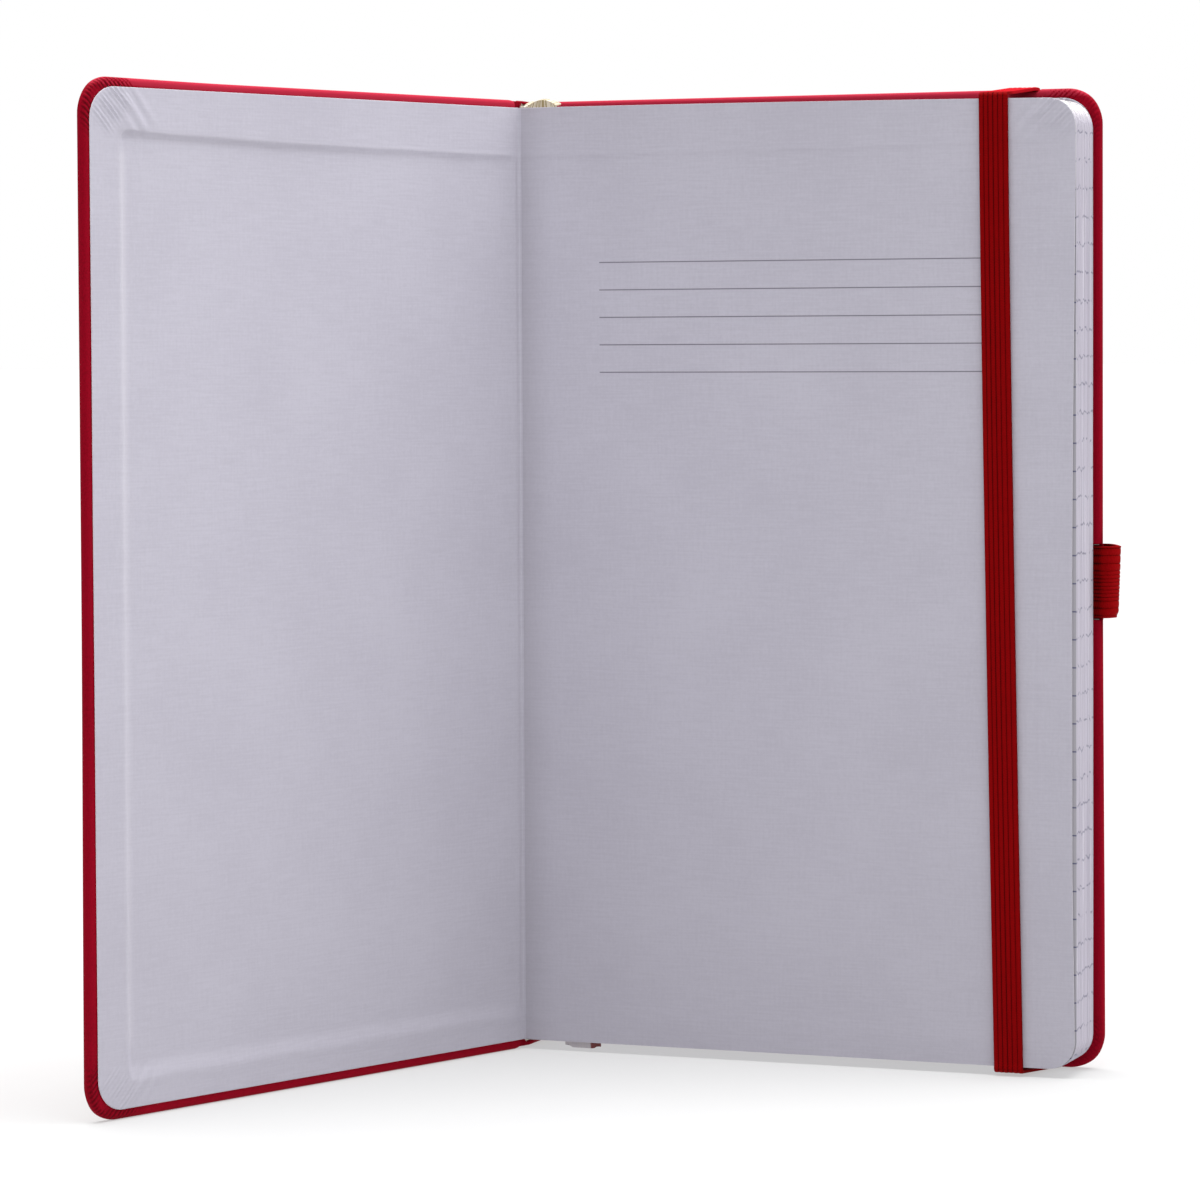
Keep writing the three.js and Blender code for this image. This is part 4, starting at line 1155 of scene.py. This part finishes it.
def band_stations():
    lean = math.atan2(SQUARE, BACK_FACE)
    lift = BAND_GAP + BAND_THICK / 2
    thin_lift = THIN_GAP + BAND_THIN / 2
    over, under = EDGE_TURN + lift, EDGE_TURN + thin_lift
    edge_y = BACK_OUTSIDE - EDGE_TURN
    quarter = math.pi / 2
    rows = [band_row(WRAP_HEAD_X, HOOK_Y, HOOK_Z, 1, 0)]
    rows += band_turn(WRAP_HEAD_X, edge_y, HALF - EDGE_TURN, (over, over), 0, quarter)
    rows += band_turn(WRAP_HEAD_X, BACK_FACE, HALF, (lift, lift), quarter, quarter + lean, count=3)
    rows += band_turn(HEAD_X, 0, LEAF_TOP, (lift, lift), quarter + lean, math.pi)
    for share in np.linspace(0, 1, 12)[1:-1]:
        x = HEAD_X + (TAIL_X - HEAD_X) * share**1.25
        rows.append(band_row(x, -lift, LEAF_TOP * (1 - 2 * share), -1, 0))
    rows += band_turn(TAIL_X, 0, -LEAF_TOP, (lift, 2.2 * lift), math.pi, 3 * quarter - lean)
    rows += band_turn(WRAP_TAIL_X, BACK_FACE, -HALF, (thin_lift, thin_lift), 3 * quarter - lean, 3 * quarter,
                      (BAND_THIN, BAND_THIN), count=3)
    rows += band_turn(WRAP_TAIL_X, edge_y, EDGE_TURN - HALF, (under, over), 3 * quarter, 4 * quarter,
                      (BAND_THIN, BAND_THICK))
    rows.append(band_row(WRAP_TAIL_X, HOOK_Y, -HOOK_Z, 1, 0))
    return rows


def refined(rows, spacing):
    """More stations between the given ones, on straight lines, so that turns stay where they are."""
    rows = np.array(rows, float)
    out = [rows[0]]
    for a, b in zip(rows, rows[1:]):
        count = max(1, math.ceil(np.linalg.norm(b[:3] - a[:3]) / spacing))
        out += [a + (b - a) * t for t in np.linspace(0, 1, count + 1)[1:]]
    return with_unit_ways(np.array(out))


band_profile = ribbed_section([BAND_WIDTH / 6] * 6, seed=5)
band_points, band_faces, band_flat = strip_mesh(refined(band_stations(), 1.5), band_profile)
# Painted highlight: where the band lies over the head its tone goes over 1, so it is coloured lighter.
over_head = smooth_step(band_points[:, 2], LEAF_TOP + 0.2, LEAF_TOP + 0.6)
over_head *= smooth_step(band_points[:, 1], 0, 2.5) * (band_points[:, 1] < BACK_OUTSIDE)
band_flat[:, 2] += over_head
make_piece("band_loop", band_points, band_faces, band_yarn, "closure", ["elastic_band"], band_flat)

# %% [markdown]
# ## The band's two ends
#
# Behind the back cover each end of the band runs a short way down to its slot and goes in. When the
# band is pushed off the fore-edge, the slot end stays and the other end goes along.

# %% Run the ends into their slots
for name, end, start_x, node in (
    ("band_head_end", 1, WRAP_HEAD_X, "elastic_head_leg"),
    ("band_tail_end", -1, WRAP_TAIL_X, "elastic_tail_leg"),
):
    bend = BAND_THICK / 2 + 0.06
    rows = [band_row(start_x, HOOK_Y, end * z, 1, 0) for z in (HOOK_Z, HOOK_Z - 0.6)]
    for turn in np.linspace(0, math.pi / 2, 7):
        y, z = HOOK_Y - bend + bend * math.cos(turn), SLOT_Z + bend - bend * math.sin(turn)
        rows.append(band_row(SLOT_X, y, end * z, math.cos(turn), -end * math.sin(turn)))
    points, faces, flat = strip_mesh(refined(rows, 0.8), band_profile)
    leg = make_piece(name, points, faces, band_yarn, None, [node], flat)
    in_scene([SLOT_X, HOOK_Y, end * SLOT_Z])
    in_scene([start_x, HOOK_Y, end * HOOK_Z])
    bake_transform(leg)

# %% [markdown]
# ## The pen loop
#
# A strip of heavier elastic is doubled, its ends glued under the back pastedown, so that a pen can
# be pushed through. Its cords run round the loop, and the free edge is a little uneven.

# %% Bend the pen loop
LOOP_ROUTE = [(-9.5, 0.66), (-4.5, 0.66), (-2.2, 0.62), (-0.6, 0.42), (0.7, -0.05), (2.2, -0.24), (3.35, 1.2),
              (2.8, 4.3), (1.5, 7.64), (-1.1, 10.14), (-4.5, 9.94), (-6.6, 7.24), (-6.1, 4.54), (-3.6, 3.43),
              (-0.6, 3.3), (1.25, 2.3), (1.4, 1.2)]
LOOP_THICK, LOOP_SPREAD, LOOP_TAPER = 0.8, 0.16, 0.5
LOOP_CORDS = [0.45, 1.5, 1.4, 0.78, 0.74, 0.8, 0.7, 0.78, 0.74, 0.8, 0.76, 1.5, 1.6, 1.5, 0.45]


def loop_stations():
    curve = stations_through(
        [[REACH + x, BACK_FACE + y, LOOP_MIDDLE, 0, 0, 1, 1, 0, 0, LOOP_THICK] for x, y in LOOP_ROUTE], 90)
    way = np.gradient(curve[:, :3], axis=0)
    way /= np.linalg.norm(way, axis=1)[:, None]
    curve[:, 6:9] = np.column_stack([way[:, 1], -way[:, 0], np.zeros(len(way))])
    return curve


share = LOOP_TALL / sum(LOOP_CORDS)
cords = [share * width for width in LOOP_CORDS]
loop_profile = ribbed_section(cords, seed=11, per_cord=9, valley=0.7)
points, faces, flat = strip_mesh(loop_stations(), loop_profile)
height = flat[:, 1] / LOOP_TALL
# Painted shade: the loop's tone drops where it comes out beside the cover; elsewhere it is raised a little.
flat[:, 2] += 0.25 - 0.5 * (1 - smooth_step(points[:, 0], REACH - 0.5, REACH + 1.5))
outward = np.maximum(points[:, 0] - REACH, 0)
taper = LOOP_TAPER * outward / 4 * smooth_step(-height, 0.40, 0.5)
points[:, 0] += LOOP_SPREAD * outward * height - taper
points[:, 2] += 0.12 * np.sin(flat[:, 0] * 0.55 + 0.9) * smooth_step(flat[:, 0], 10, 16)
make_piece("pen_loop_elastic", points, faces, loop_yarn, "book", ["pen_loop"], flat)

# %% [markdown]
# ## The ribbon marker
#
# The ribbon is glued to the spine before the case goes on. It comes up over the headband, makes a
# quarter turn and lies between the flyleaf and the first leaf, with a slanting cut end below.

# %% Lay the ribbon
RIBBON_WIDTH, RIBBON_THICK, RIBBON_TAIL = 8.4, 0.22, 1.3
RIBBON_HEAD_X, RIBBON_TAIL_X, RIBBON_GLUED = 5.5, 14.2, 18
ARCH, TUCK, NARROWED, CUT_SLANT = 1.2, 0.9, 0.22, 0.9
BEAD = 0.7
BEAD_X, BEAD_Z = BEAD - 0.25, LEAF_TOP + 0.06 + BEAD
block_back = depth_of(f"section_{SECTIONS}", high=True)
block_middle = (depth_of("section_1") + block_back) / 2 + 0.6
ribbon_low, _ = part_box("ribbon_marker")


def ribbon_stations():
    """Stations of the ribbon, each with how far its middle stands above its edges there."""
    spine_x = ribbon_low.x / MM - FOLD[0] + RIBBON_THICK / 2
    between = 0.21 + RIBBON_THICK / 2
    over = BEAD_X - spine_x
    rows = [[spine_x, block_middle, BEAD_Z - RIBBON_GLUED, 0, 1, 0, -1, 0, 0, RIBBON_THICK, 0]]
    for turn in np.linspace(math.pi, math.pi / 3, 5):
        c, s = math.cos(turn), math.sin(turn)
        x, z = BEAD_X + over * c, BEAD_Z + over * s
        rows.append([x, block_middle, z, 0, 1, 0, c, 0, s, RIBBON_THICK, 0])
    crest = LEAF_TOP + 0.35
    for swing in np.linspace(0, math.pi / 2, 8)[1:]:
        c, s = math.cos(swing), math.sin(swing)
        place = [x + (RIBBON_HEAD_X - x) * s, between + (block_middle - between) * c, crest + (z - crest) * c]
        rows.append([*place, s, c, 0, 0, -0.25 * s, 1, RIBBON_THICK, ARCH * s])
    hang = [1, 0, 0, 0, -1, 0, RIBBON_THICK, 0]
    rows.append([RIBBON_HEAD_X, between, LEAF_TOP - 0.6, *hang])
    for share in np.linspace(0, 1, 9)[1:]:
        x = RIBBON_HEAD_X + (RIBBON_TAIL_X - RIBBON_HEAD_X) * share
        rows.append([x, between, LEAF_TOP - (2 * LEAF_TOP + RIBBON_TAIL) * share, *hang])
    return rows


half = RIBBON_WIDTH / 2
across = np.linspace(-half, half, 17)
selvedge = np.where(np.abs(across) > half - 0.5, 0.5, 0.4)
ribbon_profile = np.column_stack([np.concatenate([across, across[::-1]]),
                                  np.concatenate([selvedge, -selvedge]), np.ones(34)])
rows = refined(ribbon_stations(), 0.5)
points, faces, flat = strip_mesh(rows, ribbon_profile)
ways, crown = (np.repeat(part, len(ribbon_profile), axis=0) for part in (rows[:, 3:6], rows[:, 10]))
points[:, 2] += crown * (1 - (flat[:, 1] / half) ** 2)
points[:, 2] -= TUCK * np.clip(-flat[:, 1] / half, 0, 1) ** 2 * ways[:, 1] ** 2
points -= (NARROWED * crown / ARCH * flat[:, 1])[:, None] * ways
end = flat[:, 0] > flat[:, 0].max() - 0.01
points[end, 2] += CUT_SLANT * np.clip((np.abs(flat[end, 1]) - 2.5) / 1.5, 0, 1)
make_piece("ribbon", points, faces, satin, "book", ["ribbon_marker"], flat)

# %% [markdown]
# ## Headbands
#
# A headband is a roll of cloth wound with thread, glued over each end of the block's spine to hide
# the folds and to take the finger that pulls the book from a shelf. The winding is a helix of
# ridges round the roll, with a flat skirt glued to the spine below it.

# %% Wind the headbands
WINDINGS, ROLL_START, WINDING_HIGH = 34, 1.2, 0.1
SKIRT_X, SKIRT_MIDDLE, SKIRT_HALF, SKIRT_THICK = -0.21, LEAF_TOP - 6.2, 6.8, 0.28


def wound_band(end):
    front, back = depth_of("section_1") + ROLL_START, block_back
    ys = np.linspace(front, back, 9 * WINDINGS + 1)
    turns = np.linspace(0, FULL_TURN, 24, endpoint=False)
    y, turn = np.meshgrid(ys, turns, indexing="ij")
    ridge = np.abs(np.sin(math.pi * WINDINGS * (y - front) / (back - front) + turn / 2))
    taper = smooth_step(y - front, -1, 5.5) * (0.8 + 0.2 * smooth_step(back - y, -0.3, 0.5))
    radius = (BEAD - WINDING_HIGH + WINDING_HIGH * ridge**0.6) * (0.2 + 0.8 * taper)
    low = 0.5 * (end < 0) + BEAD * 0.8 * (1 - taper)
    x, z = BEAD_X + radius * np.cos(turn), end * (BEAD_Z - low + radius * np.sin(turn))
    points = np.stack([x, y, z], -1).reshape(-1, 3)
    flat = np.stack([BEAD * turn, y, ridge], -1).reshape(-1, 3)
    faces = tube_faces(*y.shape)
    rows = [[SKIRT_X, y, end * SKIRT_MIDDLE, 0, 0, 1, -1, 0, 0, SKIRT_THICK] for y in (front, back)]
    skirt = np.array([[-SKIRT_HALF, -0.5, 0.5], [SKIRT_HALF, -0.5, 0.5],
                      [SKIRT_HALF, 0.5, 0.5], [-SKIRT_HALF, 0.5, 0.5]])
    more_points, more_faces, more_flat = strip_mesh(refined(rows, 1.0), skirt)
    faces += [[k + len(points) for k in face] for face in more_faces]
    return np.concatenate([points, more_points]), faces, np.concatenate([flat, more_flat])


for name, node, end in (("headband_winding", "headband", 1), ("tailband_winding", "tailband", -1)):
    points, faces, flat = wound_band(end)
    make_piece(name, points, faces, cotton, "book", [node], flat, crease=60)

# %% [markdown]
# ## Pieces kept as they are
#
# The boards, the spine's lining and gauze, the thread and the glued ends of the band are inside.
# Their solids have the right shape already, so they only get their finish.

# %% Finish the inner pieces
inner = {
    "front_board": grey_board, "back_board": grey_board, "spine_card": grey_board,
    "spine_lining": plain_paper, "spine_gauze": gauze, "front_hinge_gauze": gauze,
    "elastic_head_anchor": band_yarn, "elastic_tail_anchor": band_yarn,
    **{f"sewing_row_{i}": thread_cotton for i in range(1, 6)},
}
for node, finish in inner.items():
    materials = nodes[node].data.materials
    materials.clear()
    materials.append(finish.material)
print("inner pieces:", len(inner))

# %% [markdown]
# ## Floor and light
#
# The notebook stands on a white sweep. A wide soft sky above it, a little behind, picks out the top
# edges and drops a soft shadow in front of the tail edges. Two broad lamps from the right graze the
# inside of the open cover, so that every small step in it shows.

# %% Set the floor
FLOOR_GLOW, FLOOR_HALF = 0.46, 30
white = Finish("white_sweep", IOR=1.45, Roughness=0.9, Specular_IOR_Level=0.0, Emission_Strength=FLOOR_GLOW)
white.shader.inputs["Emission Color"].default_value = (1, 1, 1, 1)
dust = white.noise(solid_place(white), 0.02, 2.0)
white.feed("Base Color", white.colours(dust, (0.28, 0.28, 0.28, 1), (0.30, 0.30, 0.30, 1)))
floor_mesh = bpy.data.meshes.new("floor")
corners = [(FLOOR_HALF * i, FLOOR_HALF * j, 0) for i, j in ((-1, -1), (1, -1), (1, 1), (-1, 1))]
floor_mesh.from_pydata(corners, [], [(0, 1, 2, 3)])
floor_mesh.materials.append(white.material)
floor = placed("floor", floor_mesh)

# %% Hang the lamps
SKY_POWER, SKY_WIDTH, SKY_TILT = 5.9, 60, -4
aim = Vector(in_scene([40, -20, 0]))
for name, place, size, power in (
    ("right_lamp", (1.35, -0.25, 0.85), 0.7, 1.1),
    ("behind_lamp", (1.2, 0.55, 0.8), 1.0, 5.9),
):
    lamp = bpy.data.lights.new(name, "AREA")
    lamp.shape, lamp.size, lamp.energy = "DISK", size, power
    light = placed(name, lamp)
    light.location = place
    light.rotation_euler = (aim - Vector(place)).to_track_quat("-Z", "Y").to_euler()
sky = bpy.data.lights.new("sky_lamp", "SUN")
sky.energy, sky.angle = SKY_POWER, math.radians(SKY_WIDTH)
placed("sky_lamp", sky).rotation_euler = (math.radians(SKY_TILT), 0, 0)
print("lamps hung")

# %% [markdown]
# ## The surround
#
# The backdrop is plain white to the camera but lights the book with only part of that strength, as
# a white wall some way behind the set would. The camera-ray output of Light Path tells the two uses
# of the surround apart.

# %% Paint the surround
SURROUND = 0.24
world = bpy.data.worlds.new("white_surround")
bpy.context.scene.world = world
world.use_nodes = True
wall = world.node_tree
background = wall.nodes["Background"]
background.inputs["Color"].default_value = (1, 1, 1, 1)
seen = wall.nodes.new("ShaderNodeLightPath")
strength = wall.nodes.new("ShaderNodeMapRange")
strength.inputs["To Min"].default_value = SURROUND
wall.links.new(seen.outputs["Is Camera Ray"], strength.inputs["Value"])
wall.links.new(strength.outputs[0], background.inputs["Strength"])
bpy.context.scene.view_settings.view_transform = "Standard"
print("surround painted, strength", SURROUND)

# %% [markdown]
# ## The camera
#
# The photograph was taken with a long lens, from a little above the middle of the book and well to
# its right. The place and the turn were worked out from the outline of the two pages, and are given
# from the fold.

# %% Place the camera
LENS, YAW, PITCH, ROLL, SHIFT = 135.34, -21.3557, -2.2361, -0.2728, -0.0667
EYE = (380.45, -924.715, 156.25 - HALF)
a, b, c = (math.radians(v) for v in (YAW, PITCH, ROLL))
forward = Vector((math.sin(a) * math.cos(b), math.cos(a) * math.cos(b), math.sin(b)))
level = Vector((math.cos(a), -math.sin(a), 0))
upward = level.cross(forward)
right = level * math.cos(c) + upward * math.sin(c)
above = upward * math.cos(c) - level * math.sin(c)
camera_data = bpy.data.cameras.new("camera")
camera_data.lens, camera_data.sensor_width, camera_data.clip_end = LENS, 36, 30
camera_data.shift_y = SHIFT
camera = placed("camera", camera_data)
turn = Matrix((right, above, -forward)).transposed().to_4x4()
camera.matrix_world = Matrix.Translation(Vector(in_scene(EYE))) @ turn
bpy.context.scene.camera = camera
print("camera at", [round(v, 3) for v in camera.location])
